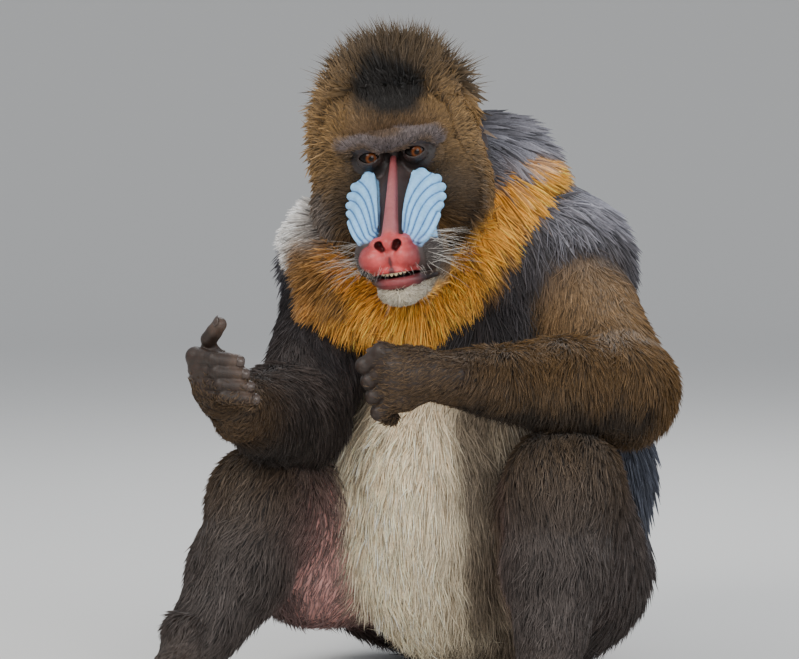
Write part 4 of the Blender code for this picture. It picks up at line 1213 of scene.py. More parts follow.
def unwrapped(part, points):
    """Where each place lies on the part's own unwrapped skin: round it, and along it."""
    if part in ("head", "trunk", "tail", "beard"):
        frame_of = HEAD @ Matrix.Translation((0, 0.05, 0)) if part == "head" else BODY
        back = np.array(frame_of.inverted(), np.float32)
        local = points @ back[:3, :3].T + back[:3, 3]
        round_it = np.arctan2(local[:, 0], -local[:, 1]) / (2 * math.pi) + 0.5
        height = (0.16, 0.13) if part == "head" else (0.0, 0.55)
        along = (local[:, 2] + height[0]) / (height[0] + height[1])
        if part == "head":
            out = np.hypot(local[:, 0], local[:, 1])
            along = np.arctan2(local[:, 2], out) / math.pi + 0.5
    else:
        limb, side = part.split("_")
        joints = (SHOULDER, ELBOW, WRIST) if limb == "arm" else (HIP, KNEE, ANKLE)
        start, bend, end = (np.array(joint[side], np.float32) for joint in joints)
        shares, angles, gaps = [], [], []
        for near, far in ((start, bend), (bend, end)):
            axis = (far - near) / np.linalg.norm(far - near)
            across = np.cross(axis, (0.31, 0.17, 0.93))
            across /= np.linalg.norm(across)
            off = points - near
            reach = off @ axis
            ring = off - reach[:, None] * axis
            shares.append(np.clip(reach / np.linalg.norm(far - near), -0.4, 1.6))
            angles.append(np.arctan2(ring @ np.cross(axis, across), ring @ across) / (2 * math.pi) + 0.5)
            nearest = np.clip(reach, 0, np.linalg.norm(far - near))[:, None] * axis
            gaps.append(np.linalg.norm(off - nearest, axis=1))
        far_half = gaps[1] < gaps[0]
        round_it = np.where(far_half, angles[1], angles[0])
        along = np.where(far_half, 0.5 + 0.3 * shares[1], 0.2 + 0.3 * shares[0])
    return np.stack([0.02 + 0.96 * round_it, np.clip(0.02 + 0.96 * along, 0.02, 0.98)], 1).astype(np.float32)


# Half the width of a tuft's patch on the unwrap
PATCH = 0.0015
# A tuft's points, as the share of its length at which a pair of them lies, and its faces
SHORT = ((0.38,), [(0, 2, 1), (2, 3, 1), (0, 1, 3), (0, 3, 2)])
LONG = (
    (0.26, 0.66),
    [(0, 2, 1), (1, 2, 4), (1, 4, 3), (3, 4, 5), (0, 1, 3), (0, 3, 5), (0, 5, 4), (0, 4, 2)],
)


def tufts(roots, normals, coat, places, kind, clump):
    """Closed tapering tufts, one at each root: points, triangles, colours and places on the unwrap."""
    shares, faces = kind
    count = len(roots)

    def spread(low, high):
        return draw.uniform(low, high, count).astype(np.float32)[:, None]

    length = coat[:, 6:7] * spread(0.70, 1.22)
    width = coat[:, 7:8] * spread(0.60, 1.00)
    lift = np.radians(coat[:, 8:9]) * spread(0.50, 1.15)
    cell = np.floor(roots / clump)
    lean = hashed(cell, 5)
    lie = unit(coat[:, 9:12]) + 0.20 * waver(roots, 0.05, 3) + 0.16 * lean
    lie = lie + 0.16 * draw.normal(size=(count, 3))
    lie = unit(lie - normals * np.einsum("ij,ij->i", lie, normals)[:, None])
    across = np.cross(normals, lie)
    heading = lie * np.cos(lift) + normals * np.sin(lift)
    above = np.cross(heading, across)
    gather = (cell + 0.5) * clump + 0.3 * clump * hashed(cell, 9) - roots
    gather -= normals * np.einsum("ij,ij->i", gather, normals)[:, None]
    standing = smooth(0.65, 0.85, lift)
    sag = length * 0.10 * (1 - standing) * smooth(0.012, 0.03, length)
    curl = length * np.sin(lift) * 0.45 * (1 - standing)

    def centre(share):
        place = roots + heading * length * share - normals * curl * share**2
        place = place + gather * (0.45 * share**1.5) + lean * length * (0.04 * share**2)
        place[:, 2] -= (sag * share**2)[:, 0]
        return place

    coat = marked(centre(0.6), coat)
    bright = spread(0.82, 1.18)
    band = spread(0, 1)
    tip = coat[:, 3:6] * bright
    tip = np.where(band < 0.18, tip * 0.40, tip)
    tip = np.where(band > 0.86, tip * 1.45 + 0.02, tip)
    base = coat[:, 0:3] * (0.5 + 0.5 * bright)
    rows = [roots - normals * 0.0012 - heading * length * 0.02]
    tones = [coat[:, 0:3] * 0.60]
    spots = [places + np.array((0, -PATCH), np.float32)]
    for share in shares:
        thick = width * (0.5 if share < 0.5 else 0.36)
        here = centre(share) + above * thick * 0.7
        for step in (1, -1):
            rows.append(here + across * thick * step)
            tones.append(base * (1 - share) + tip * share)
            spots.append(places + np.array((step * PATCH, -PATCH + 2 * PATCH * share), np.float32))
    rows.append(centre(1.0))
    tones.append(tip)
    spots.append(places + np.array((0, PATCH), np.float32))
    points = np.stack(rows, 1).reshape(-1, 3)
    triangles = (np.arange(count)[:, None, None] * len(rows) + np.array(faces)[None]).reshape(-1, 3)
    points[:, 2] = np.maximum(points[:, 2], 0.0006 + 0.0004 * draw.random(len(points)))
    tones, spots = np.stack(tones, 1).reshape(-1, 3), np.stack(spots, 1).reshape(-1, 2)
    return points.astype(np.float32), triangles, tones, spots


def coat_piece(name, sources, kind, clump, slot, material, share=1.0):
    """One piece of the coat. A source is a shell, the weight of its triangles, its part and its tufts."""
    points, triangles, colours, unwrap = [], [], [], []
    total = 0
    for shell, weight, part, count in sources:
        if weight.sum() == 0:
            continue
        roots, normals = seeded_roots(shell, weight, int(count * share))
        coat, _ = coat_at(roots)
        made = tufts(roots, normals, coat, unwrapped(part, roots), kind, clump)
        points.append(made[0])
        triangles.append(made[1] + total)
        colours.append(made[2])
        unwrap.append(made[3])
        total += len(made[0])
    points = np.concatenate(points)
    faces = np.concatenate(triangles)
    mesh = mesh_from(name, points, faces, 3, False)
    tint(mesh, "tone", np.concatenate(colours))
    layer = mesh.uv_layers.new(name="OFBake")
    layer.data.foreach_set("uv", np.concatenate(unwrap)[faces.ravel()].ravel())
    return piece(name, mesh, material, slot)


# Materials


def node_group(name, sockets, build):
    """A shader group with named sockets, filled by the function."""
    group = bpy.data.node_groups.new(name, "ShaderNodeTree")
    for label, way, kind, value in sockets:
        socket = group.interface.new_socket(name=label, in_out=way, socket_type=kind)
        if way == "INPUT" and value is not None:
            socket.default_value = value
    start = group.nodes.new("NodeGroupInput")
    end = group.nodes.new("NodeGroupOutput")
    build(group, start, end)
    return group


def mottle(group, start, end):
    """Fine light and dark over a colour, at a given scale."""
    nodes, links = group.nodes, group.links
    place = nodes.new("ShaderNodeTexCoord")
    noise = nodes.new("ShaderNodeTexNoise")
    noise.inputs["Detail"].default_value = 3
    links.new(place.outputs["Object"], noise.inputs["Vector"])
    links.new(start.outputs["Scale"], noise.inputs["Scale"])
    spread = nodes.new("ShaderNodeMapRange")
    spread.inputs["From Min"].default_value = 0.3
    spread.inputs["From Max"].default_value = 0.7
    low = nodes.new("ShaderNodeMath")
    low.operation = "SUBTRACT"
    low.inputs[0].default_value = 1.0
    links.new(start.outputs["Amount"], low.inputs[1])
    high = nodes.new("ShaderNodeMath")
    high.operation = "ADD"
    high.inputs[0].default_value = 1.0
    links.new(start.outputs["Amount"], high.inputs[1])
    links.new(noise.outputs["Fac"], spread.inputs["Value"])
    links.new(low.outputs[0], spread.inputs["To Min"])
    links.new(high.outputs[0], spread.inputs["To Max"])
    times = nodes.new("ShaderNodeVectorMath")
    times.operation = "SCALE"
    links.new(start.outputs["Colour"], times.inputs[0])
    links.new(spread.outputs["Result"], times.inputs["Scale"])
    links.new(times.outputs["Vector"], end.inputs["Colour"])
    links.new(noise.outputs["Fac"], end.inputs["Mask"])


MOTTLE = node_group(
    "mottle",
    [
        ("Colour", "INPUT", "NodeSocketColor", None),
        ("Scale", "INPUT", "NodeSocketFloat", 200.0),
        ("Amount", "INPUT", "NodeSocketFloat", 0.2),
        ("Colour", "OUTPUT", "NodeSocketColor", None),
        ("Mask", "OUTPUT", "NodeSocketFloat", None),
    ],
    mottle,
)


def finish(name, roughness, sockets, scale, amount):
    """A material whose colour is the piece's own, mottled. Returns it with its nodes."""
    material = bpy.data.materials.new(name)
    material.use_nodes = True
    nodes, links = material.node_tree.nodes, material.node_tree.links
    shader = nodes["Principled BSDF"]
    shader.inputs["Roughness"].default_value = roughness
    for label, value in sockets.items():
        shader.inputs[label].default_value = value
    own = nodes.new("ShaderNodeAttribute")
    own.attribute_name = "tone"
    group = nodes.new("ShaderNodeGroup")
    group.node_tree = MOTTLE
    group.inputs["Scale"].default_value = scale
    group.inputs["Amount"].default_value = amount
    links.new(own.outputs["Color"], group.inputs["Colour"])
    links.new(group.outputs["Colour"], shader.inputs["Base Color"])
    return material, nodes, links, shader, group


def hair_finish(name, roughness, sheen):
    """Coat: dull, with a little sheen along its edges."""
    sockets = {"Specular IOR Level": 0.28, "Sheen Weight": sheen, "Sheen Roughness": 0.5}
    return finish(name, roughness, sockets, 420.0, 0.16)[0]


def skin_finish(name):
    """Bare skin: grain, creases and the shine that each place has."""
    sockets = {"Specular IOR Level": 0.42, "Subsurface Weight": 0.06, "Subsurface Scale": 0.004}
    material, nodes, links, shader, _ = finish(name, 0.5, sockets, 260.0, 0.10)
    place = nodes.new("ShaderNodeTexCoord")
    pores = nodes.new("ShaderNodeTexVoronoi")
    pores.inputs["Scale"].default_value = 900.0
    links.new(place.outputs["Object"], pores.inputs["Vector"])
    creases = nodes.new("ShaderNodeTexNoise")
    creases.inputs["Scale"].default_value = 340.0
    creases.inputs["Detail"].default_value = 4
    links.new(place.outputs["Object"], creases.inputs["Vector"])
    both = nodes.new("ShaderNodeMath")
    both.operation = "ADD"
    links.new(pores.outputs["Distance"], both.inputs[0])
    links.new(creases.outputs["Fac"], both.inputs[1])
    bump = nodes.new("ShaderNodeBump")
    bump.inputs["Strength"].default_value = 0.28
    bump.inputs["Distance"].default_value = 0.0006
    links.new(both.outputs[0], bump.inputs["Height"])
    links.new(bump.outputs["Normal"], shader.inputs["Normal"])
    shine = nodes.new("ShaderNodeAttribute")
    shine.attribute_name = "shine"
    links.new(shine.outputs["Fac"], shader.inputs["Roughness"])
    return material


SKIN = skin_finish("mandrill_skin")
COAT_DARK = hair_finish("coat_grey", 0.62, 0.10)
COAT_OLIVE = hair_finish("coat_olive_gold", 0.60, 0.08)
COAT_ORANGE = hair_finish("coat_ruff", 0.58, 0.10)
COAT_CREAM = hair_finish("coat_belly", 0.60, 0.12)
BRISTLE = hair_finish("whisker_white", 0.42, 0.0)
ENAMEL = finish("tooth_enamel", 0.22, {"Specular IOR Level": 0.5}, 700.0, 0.10)[0]
HORN = finish("nail_horn", 0.34, {"Specular IOR Level": 0.5}, 900.0, 0.16)[0]


# The skin in its shells


def shell_of(points, quads, colour, shine):
    """A shell with its triangles, normals and finish."""
    triangles = np.concatenate([quads[:, [0, 1, 2]], quads[:, [0, 2, 3]]])
    return {
        "points": points,
        "faces": quads,
        "triangles": triangles,
        "normals": normals_of(points, quads),
        "colour": colour,
        "shine": shine,
    }


def hard_shell(distance, low, high, step, colour_of, shine, world=None):
    """A shell of one even shine, coloured by the function."""
    points, quads = surface_of(distance, low, high, step, world)
    return shell_of(points, quads, colour_of(points), np.full(len(points), shine, np.float32))


# The grid on which each skin is found, and the box round the body's
BODY_STEP = 0.0052
FACE_STEP = 0.0012
HAND_STEP = 0.0013
FOOT_STEP = 0.0019
BODY_LOW = np.array((-0.34, -0.33, -0.008), np.float32)
BODY_HIGH = np.array((0.24, 0.25, 0.62), np.float32)
shells = {"body": hard_shell(flesh, BODY_LOW, BODY_HIGH, BODY_STEP, body_skin, 0.62)}

face_points, quads = surface_of(bare_face, FACE_LOW, FACE_HIGH, FACE_STEP)
colour, bare, shine = face_skin(face_points)
world_points = face_points @ np.array(HEAD.to_3x3(), np.float32).T + np.array(HEAD.translation, np.float32)
shells["face"] = shell_of(world_points, quads, colour, shine)
shells["face"]["bare"] = bare

for name in SIDES:
    fingers = HANDS[name][1]
    low, high = box_round([joint for joints, _ in fingers for joint in joints] + [WRIST[name]], 0.026)
    shells["hand_" + name] = hard_shell(
        hand(name), low, high, HAND_STEP, lambda spots: hand_skin(spots, HANDS[name]), 0.5,
    )
    toes = FEET[name][1]
    low, high = box_round([joint for joints, _ in toes for joint in joints] + [ANKLE[name]], 0.030)
    low[2] = -0.004
    high[2] = 0.088
    shells["foot_" + name] = hard_shell(
        foot(name), low, high, FOOT_STEP, lambda spots: hand_skin(spots, FEET[name]), 0.55,
    )


def ear(side):
    """Distance to one ear, a thin cup with a rolled rim, in the head's axes."""
    frame_of = turned(side * -20)

    def distance(points):
        outer = egg(points, (side * 0.0715 - 0.011, 0.104, -0.004), (0.0075, 0.0165, 0.0235), frame_of)
        inner = egg(points, (side * 0.0785 - 0.011, 0.1015, -0.002), (0.0075, 0.0115, 0.0180), frame_of)
        fold = egg(points, (side * 0.0750 - 0.011, 0.1000, -0.006), (0.0030, 0.0030, 0.0100), frame_of)
        return melt(carve(outer, inner, 0.002), fold, 0.002)

    return distance


EAR_COLOUR = shade(62, 54, 56)
for name, side in SIDES.items():
    low = (min(side * 0.059, side * 0.089) - 0.011, 0.076, -0.034)
    high = (max(side * 0.059, side * 0.089) - 0.011, 0.132, 0.026)
    shells["ear_" + name] = hard_shell(
        ear(side), low, high, FACE_STEP, lambda spots: np.tile(EAR_COLOUR, (len(spots), 1)), 0.55, HEAD,
    )

FLESH_NODES = ["rump", "belly", "torso", "neck", "tail", "head", "beard"]
for name in SIDES:
    for node in ("ear", "upper_arm", "forearm", "thigh", "shank"):
        FLESH_NODES.append(node + "_" + name)
BARE_PARTS = {
    "skin": ("body", "ear_left", "ear_right"),
    "face": ("face",),
    "hands_and_feet": ("hand_left", "hand_right", "foot_left", "foot_right"),
}
STANDS_FOR = {"skin": FLESH_NODES, "face": ["nose"], "hands_and_feet": []}
for name in SIDES:
    STANDS_FOR["face"].append("cheek_ridge_" + name)
    STANDS_FOR["hands_and_feet"] += ["hand_" + name, "foot_" + name]
for name, own in BARE_PARTS.items():
    points, faces, carried = joined([shells[shell] for shell in own])
    mesh = mesh_from(name, points, faces, 4)
    tint(mesh, "tone", carried[:, :3])
    measure(mesh, "shine", carried[:, 3])
    piece(name, mesh, SKIN, "skin_dark", STANDS_FOR[name])


# Where each coat grows, triangle by triangle


def middles(shell):
    """The middle of each triangle."""
    return shell["points"][shell["triangles"]].mean(1)


ground = shells["body"]
places = middles(ground)
coat, parts = coat_at(places)
weight = np.clip(coat[:, 12], 0, 2) / coat[:, 7] ** 2 * 1e-6
weight[bare_face(in_head(places)) < -0.0006] = 0
for name in SIDES:
    weight[hand(name)(places) < -0.001] = 0
    weight[foot(name)(places) < -0.001] = 0
weight[places[:, 2] < 0.004] = 0
in_body_axes = places @ np.array(BODY.to_3x3(), np.float32)


def where(condition):
    """The body's weights kept where the condition holds."""
    return np.where(condition, weight, 0)


def part_is(name):
    return parts == COAT_PARTS.index(name)


front = in_body_axes[:, 1] < -0.045
neck = (places[:, 2] > 0.395) & ~(front & (places[:, 2] < 0.40))
muzzle_shell = shells["face"]
face_places = middles(muzzle_shell)
face_coat, _ = coat_at(face_places)
face_bare = muzzle_shell["bare"][muzzle_shell["triangles"]].mean(1)
face_weight = (1 - face_bare) * np.clip(face_coat[:, 12], 0, 2) / face_coat[:, 7] ** 2 * 1e-6
face_weight[flesh(face_places) < -0.0006] = 0
long_face = face_coat[:, 6] > 0.0135
head_back = part_is("head")
crown_band = in_head(places)[:, 2] > 0.030
crown_face = in_head(face_places)[:, 2] > 0.030


def hand_hair(name, joints, reach, full):
    """How full the hair is over a hand or foot: over its back, but not along the digits."""
    shell = shells[name]
    spots = middles(shell)
    off = spots - np.array(joints, np.float32)
    near = 1 - smooth(reach - 0.010, reach + 0.008, np.sqrt(np.einsum("ij,ij->i", off, off)))
    near[spots[:, 2] < 0.012] = 0
    near[flesh(spots) < -0.0006] = 0
    return near * full


# Each coat piece: its sources (shell, weights, part, tufts), kind of tuft, clump, slot and material
QUICK = 1.0
PIECES = [
    (
        "coat_face",
        [(muzzle_shell, np.where(long_face, 0, face_weight), "head", 46000)],
        SHORT, 0.004, "coat_olive", COAT_OLIVE,
    ),
    (
        "coat_crown",
        [
            (ground, where(head_back & crown_band), "head", 14500),
            (muzzle_shell, np.where(long_face & crown_face, face_weight, 0), "head", 7500),
        ],
        LONG, 0.009, "coat_olive", COAT_OLIVE,
    ),
    (
        "coat_cheeks",
        [
            (ground, where(head_back & ~crown_band), "head", 11000),
            (muzzle_shell, np.where(long_face & ~crown_face, face_weight, 0), "head", 9000),
        ],
        LONG, 0.008, "coat_olive", COAT_OLIVE,
    ),
    (
        "coat_beard", [(ground, where(part_is("beard")), "beard", 18000)], LONG, 0.010,
        "coat_orange", COAT_ORANGE,
    ),
    (
        "coat_mane",
        [(ground, where(part_is("trunk") & neck), "trunk", 14000)],
        LONG, 0.013, "coat_charcoal", COAT_DARK,
    ),
    (
        "coat_back",
        [
            (ground, where(part_is("trunk") & ~neck & ~front), "trunk", 9500),
            (ground, where(part_is("tail")), "tail", 700),
        ],
        LONG, 0.014, "coat_charcoal", COAT_DARK,
    ),
    (
        "coat_belly",
        [(ground, where(part_is("trunk") & ~neck & front), "trunk", 16000)],
        LONG, 0.010, "coat_cream", COAT_CREAM,
    ),
]
for name in SIDES:
    arm, leg = "arm_" + name, "leg_" + name
    count, more, full = {"left": (39000, 5000, 1.0), "right": (23000, 3000, 0.5)}[name]
    back = hand_hair("hand_" + name, WRIST[name], {"left": 0.062, "right": 0.050}[name], full)
    sources = [(ground, where(part_is(arm)), arm, count), (shells["hand_" + name], back, arm, more)]
    PIECES.append(("coat_" + arm, sources, SHORT, 0.006, "coat_olive", COAT_OLIVE))
    top = hand_hair("foot_" + name, ANKLE[name], 0.090, 1.0)
    sources = [(ground, where(part_is(leg)), leg, 22500), (shells["foot_" + name], top, leg, 4500)]
    PIECES.append(("coat_" + leg, sources, SHORT, 0.007, "coat_grey_brown", COAT_DARK))
for name, sources, kind, clump, slot, material in PIECES:
    coat_piece(name, sources, kind, clump, slot, material, QUICK)


# Whiskers and nails

WHISKER_ROWS = 5


def whiskers(count):
    """White bristles on the sides of the muzzle and the chin, bent and tapering to a point."""
    spots, out = face_points, shells["face"]["normals"]
    side, depth, height = np.abs(spots[:, 0]), spots[:, 1], spots[:, 2]
    beside = (side > 0.026) & (side < 0.041) & (depth < -0.028) & (depth > -0.068)
    beside &= (height < -0.074) & (height > -0.104)
    below = (side < 0.026) & (depth < -0.040) & (height < -0.121) & (height > -0.134)
    turn = np.array(HEAD.to_3x3(), np.float32)
    points, triangles, unwrap = [], [], []
    edge = (side < 0.030) & (depth < -0.050) & (height < -0.098) & (height > -0.106)
    groups = ((beside, 0.60, 0.016, 0.050), (below, 0.15, 0.006, 0.018), (edge, 0.25, 0.004, 0.012))
    for chosen, share, low, high in groups:
        for pick in draw.choice(np.flatnonzero(chosen), int(count * share), replace=False):
            root, normal = shells["face"]["points"][pick], out[pick]
            aside, highest = (1.2, 0.75) if chosen is beside else (0.4, -0.4)
            fan = np.array((np.sign(spots[pick, 0]) * aside, -0.25, draw.uniform(-0.9, highest)))
            fan = fan + 0.12 * draw.normal(size=3)
            heading = unit((unit(fan[None])[0] @ turn.T + normal * 0.5)[None])[0]
            across = unit(np.cross(heading, (0.1, 0.9, 0.3))[None])[0]
            above = np.cross(heading, across)
            length = draw.uniform(low, high)
            first = len(points)
            for row in range(WHISKER_ROWS):
                share_up = row / WHISKER_ROWS
                middle = root + heading * length * (share_up - 0.03)
                middle = middle - np.array((0, 0, 0.16)) * length * share_up**2
                for corner in range(3):
                    angle = 2 * math.pi * corner / 3
                    thick = 0.00014 * (1 - 0.8 * share_up)
                    points.append(middle + thick * (math.cos(angle) * across + math.sin(angle) * above))
                    unwrap.append((0.1 + 0.8 * draw.random(), share_up))
            points.append(root + heading * length * 0.97 - np.array((0, 0, 0.16)) * length)
            unwrap.append((0.5, 1.0))
            triangles.append((first + 2, first + 1, first))
            for row in range(WHISKER_ROWS - 1):
                for corner in range(3):
                    one, two = first + 3 * row + corner, first + 3 * row + (corner + 1) % 3
                    triangles += [(one, two, two + 3), (one, two + 3, one + 3)]
            last = first + 3 * (WHISKER_ROWS - 1)
            for corner in range(3):
                triangles.append((last + corner, last + (corner + 1) % 3, len(points) - 1))
    mesh = mesh_from("whiskers", np.array(points, np.float32), np.array(triangles), 3)
    tint(mesh, "tone", np.tile(shade(214, 209, 200), (len(points), 1)))
    layer = mesh.uv_layers.new(name="OFBake")
    layer.data.foreach_set("uv", np.array(unwrap, np.float32)[np.array(triangles).ravel()].ravel())
    return piece("whiskers", mesh, BRISTLE, "coat_cream")


whiskers(170)


def incisors(points):
    """Distance to the front teeth, a bowed row under the upper lip, in the head's axes."""
    mirrored = np.stack([np.abs(points[:, 0]), points[:, 1], points[:, 2]], 1)
    whole = egg(mirrored, (0.0021, -0.0790, -0.1052), (0.0022, 0.0016, 0.0042))
    whole = np.minimum(whole, egg(mirrored, (0.0062, -0.0782, -0.1049), (0.0020, 0.0015, 0.0038)))
    return np.minimum(whole, egg(mirrored, (0.0100, -0.0766, -0.1046), (0.0018, 0.0015, 0.0036)))


points, quads = surface_of(incisors, (-0.0135, -0.0825, -0.1125), (0.0135, -0.0735, -0.0995), 0.0006, HEAD)
teeth_mesh = mesh_from("teeth", points, quads, 4)
tint(teeth_mesh, "tone", np.tile(shade(214, 196, 156), (len(points), 1)))
piece("teeth", teeth_mesh, ENAMEL, "eye")

NAIL_ROWS = 7
NAIL_LINES = 9


def nail(joints, radius):
    """One nail, a thin arched plate with a rounded end, over the last joint of a digit."""
    start, bend, end = (np.array(joint) for joint in joints)
    along = (end - bend) / np.linalg.norm(end - bend)
    out = bend - (start + end) / 2 + np.array((0, -0.0006, 0.0006))
    out -= along * (out @ along)
    out /= np.linalg.norm(out)
    across = np.cross(along, out)
    points, faces = [], []
    for lift in (0.0002, 0.0010):
        for row in range(NAIL_ROWS):
            share = row / (NAIL_ROWS - 1)
            half = 0.95 * math.sqrt(max(1 - (max(share - 0.45, 0) / 0.62) ** 2, 0))
            for line in range(NAIL_LINES):
                angle = half * (2 * line / (NAIL_LINES - 1) - 1)
                reach = radius + lift * (0.35 + 0.65 * math.cos(angle)) - 0.0008 * (1 - share)
                middle = end + along * radius * (1.15 * share - 0.10)
                spoke = math.cos(angle) * out + math.sin(angle) * across
                points.append(middle + reach * spoke * (1 - 0.22 * share**3))
    size = NAIL_ROWS * NAIL_LINES
    for row in range(NAIL_ROWS - 1):
        for line in range(NAIL_LINES - 1):
            corner = row * NAIL_LINES + line
            ring = (corner, corner + 1, corner + NAIL_LINES + 1, corner + NAIL_LINES)
            faces.append(tuple(reversed(ring)))
            faces.append(tuple(place + size for place in ring))
    rim = list(range(NAIL_LINES))
    rim += [row * NAIL_LINES + NAIL_LINES - 1 for row in range(1, NAIL_ROWS)]
    rim += [(NAIL_ROWS - 1) * NAIL_LINES + line for line in range(NAIL_LINES - 2, -1, -1)]
    rim += [row * NAIL_LINES for row in range(NAIL_ROWS - 2, 0, -1)]
    for one, two in zip(rim, rim[1:] + rim[:1]):
        faces.append((one, two, two + size, one + size))
    return np.array(points, np.float32), np.array(faces)


def nails():
    """The nails of the hands and feet."""
    points, faces, total = [], [], 0
    for _, fingers in list(HANDS.values()) + list(FEET.values()):
        for joints, radii in fingers:
            places, sides = nail(joints, radii[-1])
            points.append(places)
            faces.append(sides + total)
            total += len(places)
    points = np.concatenate(points)
    mesh = mesh_from("nails", points, np.concatenate(faces), 4)
    tint(mesh, "tone", shade(66, 54, 48) * (1 + 0.15 * waver(points, 0.006, 77)[:, :1]))
    return piece("nails", mesh, HORN, "skin_dark")


nails()


# Eyes


def iris_finish():
    """The eye: black pupil, amber iris with fine spokes, brown white, all darkened by painted shade from the
    brow, under a clear wet coat.
    """
    wet = {"Coat Weight": 0.22, "Coat Roughness": 0.04, "Specular IOR Level": 0.08}
    material, nodes, links, _, group = finish("mandrill_eye", 0.35, wet, 300.0, 0.0)
    own = nodes.new("ShaderNodeAttribute")
    own.attribute_name = "spokes"
    noise = nodes.new("ShaderNodeTexNoise")
    noise.inputs["Scale"].default_value = 3.2
    noise.inputs["Detail"].default_value = 4
    links.new(own.outputs["Vector"], noise.inputs["Vector"])
    polar = nodes.new("ShaderNodeAttribute")
    polar.attribute_name = "polar"
    shake = nodes.new("ShaderNodeMath")
    shake.operation = "MULTIPLY_ADD"
    shake.inputs[1].default_value = 0.16
    links.new(noise.outputs["Fac"], shake.inputs[0])
    links.new(polar.outputs["Fac"], shake.inputs[2])
    ramp = nodes.new("ShaderNodeValToRGB")
    # The iris and the white are darker than their own amber and brown: painted shade from the brow
    stops = [
        (0.235, (2, 1, 1)), (0.262, (44, 18, 5)), (0.38, (96, 50, 16)), (0.49, (74, 36, 12)),
        (0.55, (34, 16, 8)), (0.59, (7, 5, 4)), (0.72, (10, 7, 6)), (1.0, (14, 10, 8)),
    ]
    ramp.color_ramp.elements[0].position = stops[0][0]
    ramp.color_ramp.elements[1].position = stops[-1][0]
    for place, _ in stops[1:-1]:
        ramp.color_ramp.elements.new(place)
    for element, (place, colour) in zip(ramp.color_ramp.elements, stops):
        element.color = (*[float(value) for value in shade(*colour)], 1)
    links.new(shake.outputs[0], ramp.inputs["Fac"])
    links.new(ramp.outputs["Color"], group.inputs["Colour"])
    return material


IRIS = iris_finish()
GAZE = HEAD.to_3x3() @ Vector((0.25, -1, -0.10)).normalized()
EYE_ROWS = 40
EYE_SPOKES = 56


def eyeball(side):
    """A ball with a clear bulge in front, its rows running round the line of sight."""
    centre = np.array(face(side * EYE_SIDE, -0.001, 0))
    across = np.array(GAZE.cross(UP).normalized())
    above = np.cross(across, np.array(GAZE))
    polar = np.linspace(0, math.pi, EYE_ROWS + 1)[1:-1]
    points, bearing, angle = [centre + np.array(GAZE) * EYE_RADIUS * 1.045], [0.0], [0.0]
    for row in polar:
        bulge = 1 + 0.045 * float(smooth(0.75, 0.25, np.array(row)) if row < 0.75 else 0)
        for spoke in range(EYE_SPOKES):
            turn = 2 * math.pi * spoke / EYE_SPOKES
            out = math.sin(row) * (math.cos(turn) * across + math.sin(turn) * above)
            points.append(centre + EYE_RADIUS * bulge * (math.cos(row) * np.array(GAZE) + out))
            bearing.append(turn)
            angle.append(row)
    points.append(centre - np.array(GAZE) * EYE_RADIUS)
    bearing.append(0.0)
    angle.append(math.pi)
    faces = []
    for row in range(EYE_ROWS - 2):
        for spoke in range(EYE_SPOKES):
            after = (spoke + 1) % EYE_SPOKES
            first = 1 + row * EYE_SPOKES
            outer = first + EYE_SPOKES
            faces.append((first + spoke, outer + spoke, outer + after, first + after))
    last = 1 + (EYE_ROWS - 2) * EYE_SPOKES
    caps = [(0, 1 + spoke, 1 + (spoke + 1) % EYE_SPOKES) for spoke in range(EYE_SPOKES)]
    caps += [(len(points) - 1, last + (spoke + 1) % EYE_SPOKES, last + spoke) for spoke in range(EYE_SPOKES)]
    quads = np.array(faces)
    triangles = np.concatenate([np.array(caps), quads[:, [0, 1, 2]], quads[:, [0, 2, 3]]])
    return np.array(points, np.float32), triangles, np.array(bearing), np.array(angle)


for name, side in SIDES.items():
    points, triangles, bearing, angle = eyeball(side)
    mesh = mesh_from("eyeball_" + name, points, triangles, 3)
    spokes = np.column_stack([np.cos(bearing) * 5, np.sin(bearing) * 5, angle * 1.5])
    tint(mesh, "tone", np.full((len(points), 3), 0.1))
    layer = mesh.attributes.new("spokes", "FLOAT_VECTOR", "POINT")
    layer.data.foreach_set("vector", spokes.astype(np.float32).ravel())
    measure(mesh, "polar", angle)
    piece("eyeball_" + name, mesh, IRIS, "eye", ["eye_" + name])


# Floor, light and camera

# The floor: how far it lies flat, the bend in which it rises beyond that, and its sides
FLOOR_REACH = 4.5
FLOOR_BEND = 2.5
FLOOR_SIDES = 48
# The photo's width and the focal length of its camera, in the photo's pixels
PHOTO_WIDTH = 799
PHOTO_FOCAL = 3125
FILM_WIDTH = 36.0


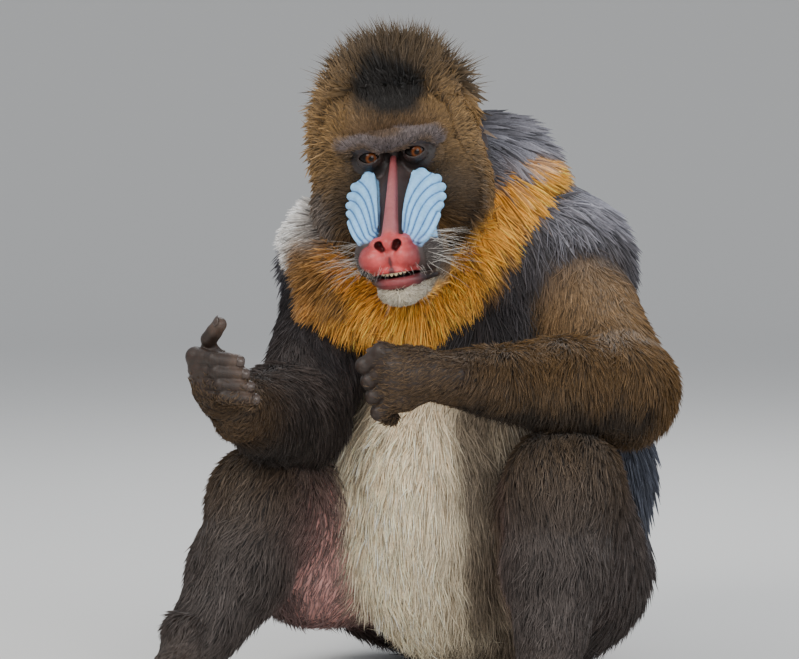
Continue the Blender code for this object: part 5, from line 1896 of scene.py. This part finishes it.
def studio():
    """A plain pale floor, soft light from above and both sides, and the camera at the photo's angle."""
    rim = [(0.5, 0.0), (FLOOR_REACH, 0.0)]
    for slope in np.radians(np.arange(5, 66, 5)):
        rim.append((FLOOR_REACH + FLOOR_BEND * math.sin(slope), FLOOR_BEND * (1 - math.cos(slope))))
    turns = 2 * math.pi * np.arange(FLOOR_SIDES) / FLOOR_SIDES
    places = [(0.0, 0.0, 0.0)]
    for radius, height in rim:
        places += [(radius * math.cos(turn), radius * math.sin(turn), height) for turn in turns]
    rings = [1 + FLOOR_SIDES * ring + np.arange(FLOOR_SIDES) for ring in range(len(rim))]
    faces = []
    for near, far in zip(rings, rings[1:]):
        faces.append(np.stack([near, far, np.roll(far, -1), np.roll(near, -1)], 1))
    middle = np.stack([rings[0], np.roll(rings[0], -1), rings[0] * 0], 1)
    faces = [np.concatenate([quads[:, [0, 1, 2]], quads[:, [0, 2, 3]]]) for quads in faces]
    floor_mesh = mesh_from("floor", np.array(places, np.float32), np.concatenate([middle] + faces), 3)
    floor = bpy.data.objects.new("floor", floor_mesh)
    bpy.context.scene.collection.objects.link(floor)
    pale = bpy.data.materials.new("floor_pale")
    pale.use_nodes = True
    pale.node_tree.nodes["Principled BSDF"].inputs["Base Color"].default_value = (0.70, 0.69, 0.67, 1)
    pale.node_tree.nodes["Principled BSDF"].inputs["Roughness"].default_value = 0.9
    floor_mesh.materials.append(pale)
    floor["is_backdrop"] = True
    world = bpy.data.worlds.new("studio")
    bpy.context.scene.world = world
    world.use_nodes = True
    world.node_tree.nodes["Background"].inputs["Color"].default_value = (0.86, 0.90, 0.96, 1)
    world.node_tree.nodes["Background"].inputs["Strength"].default_value = 0.62
    lights = [
        ("key", Vector((-1.3, -1.6, 1.9)), 1.2, 40.0, (1.0, 0.97, 0.92)),
        ("front", Vector((0.5, -2.6, 0.95)), 1.0, 26.0, (1.0, 0.98, 0.95)),
        ("side", Vector((1.8, -0.9, 1.2)), 1.2, 14.0, (0.94, 0.97, 1.0)),
        ("top", Vector((0.3, 1.4, 2.1)), 1.4, 30.0, (0.95, 0.98, 1.0)),
    ]
    for name, place, size, power, colour in lights:
        lamp = bpy.data.lights.new(name, "AREA")
        lamp.size = size
        lamp.energy = power
        lamp.color = colour
        obj = bpy.data.objects.new(name, lamp)
        obj.location = place
        obj.rotation_euler = (Vector((-0.03, -0.05, 0.32)) - place).to_track_quat("-Z", "Y").to_euler()
        bpy.context.scene.collection.objects.link(obj)
    lens = bpy.data.cameras.new("photo_camera")
    lens.sensor_width = FILM_WIDTH
    lens.lens = PHOTO_FOCAL / PHOTO_WIDTH * FILM_WIDTH
    lens.clip_end = 40
    camera = bpy.data.objects.new("photo_camera", lens)
    aim = Vector((-0.09, -0.10, 0.346))
    rise = math.radians(4)
    camera.location = aim + 3.0 * Vector((0, -math.cos(rise), math.sin(rise)))
    camera.rotation_euler = (aim - camera.location).to_track_quat("-Z", "Y").to_euler()
    bpy.context.scene.collection.objects.link(camera)
    bpy.context.scene.camera = camera


studio()

low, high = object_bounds()
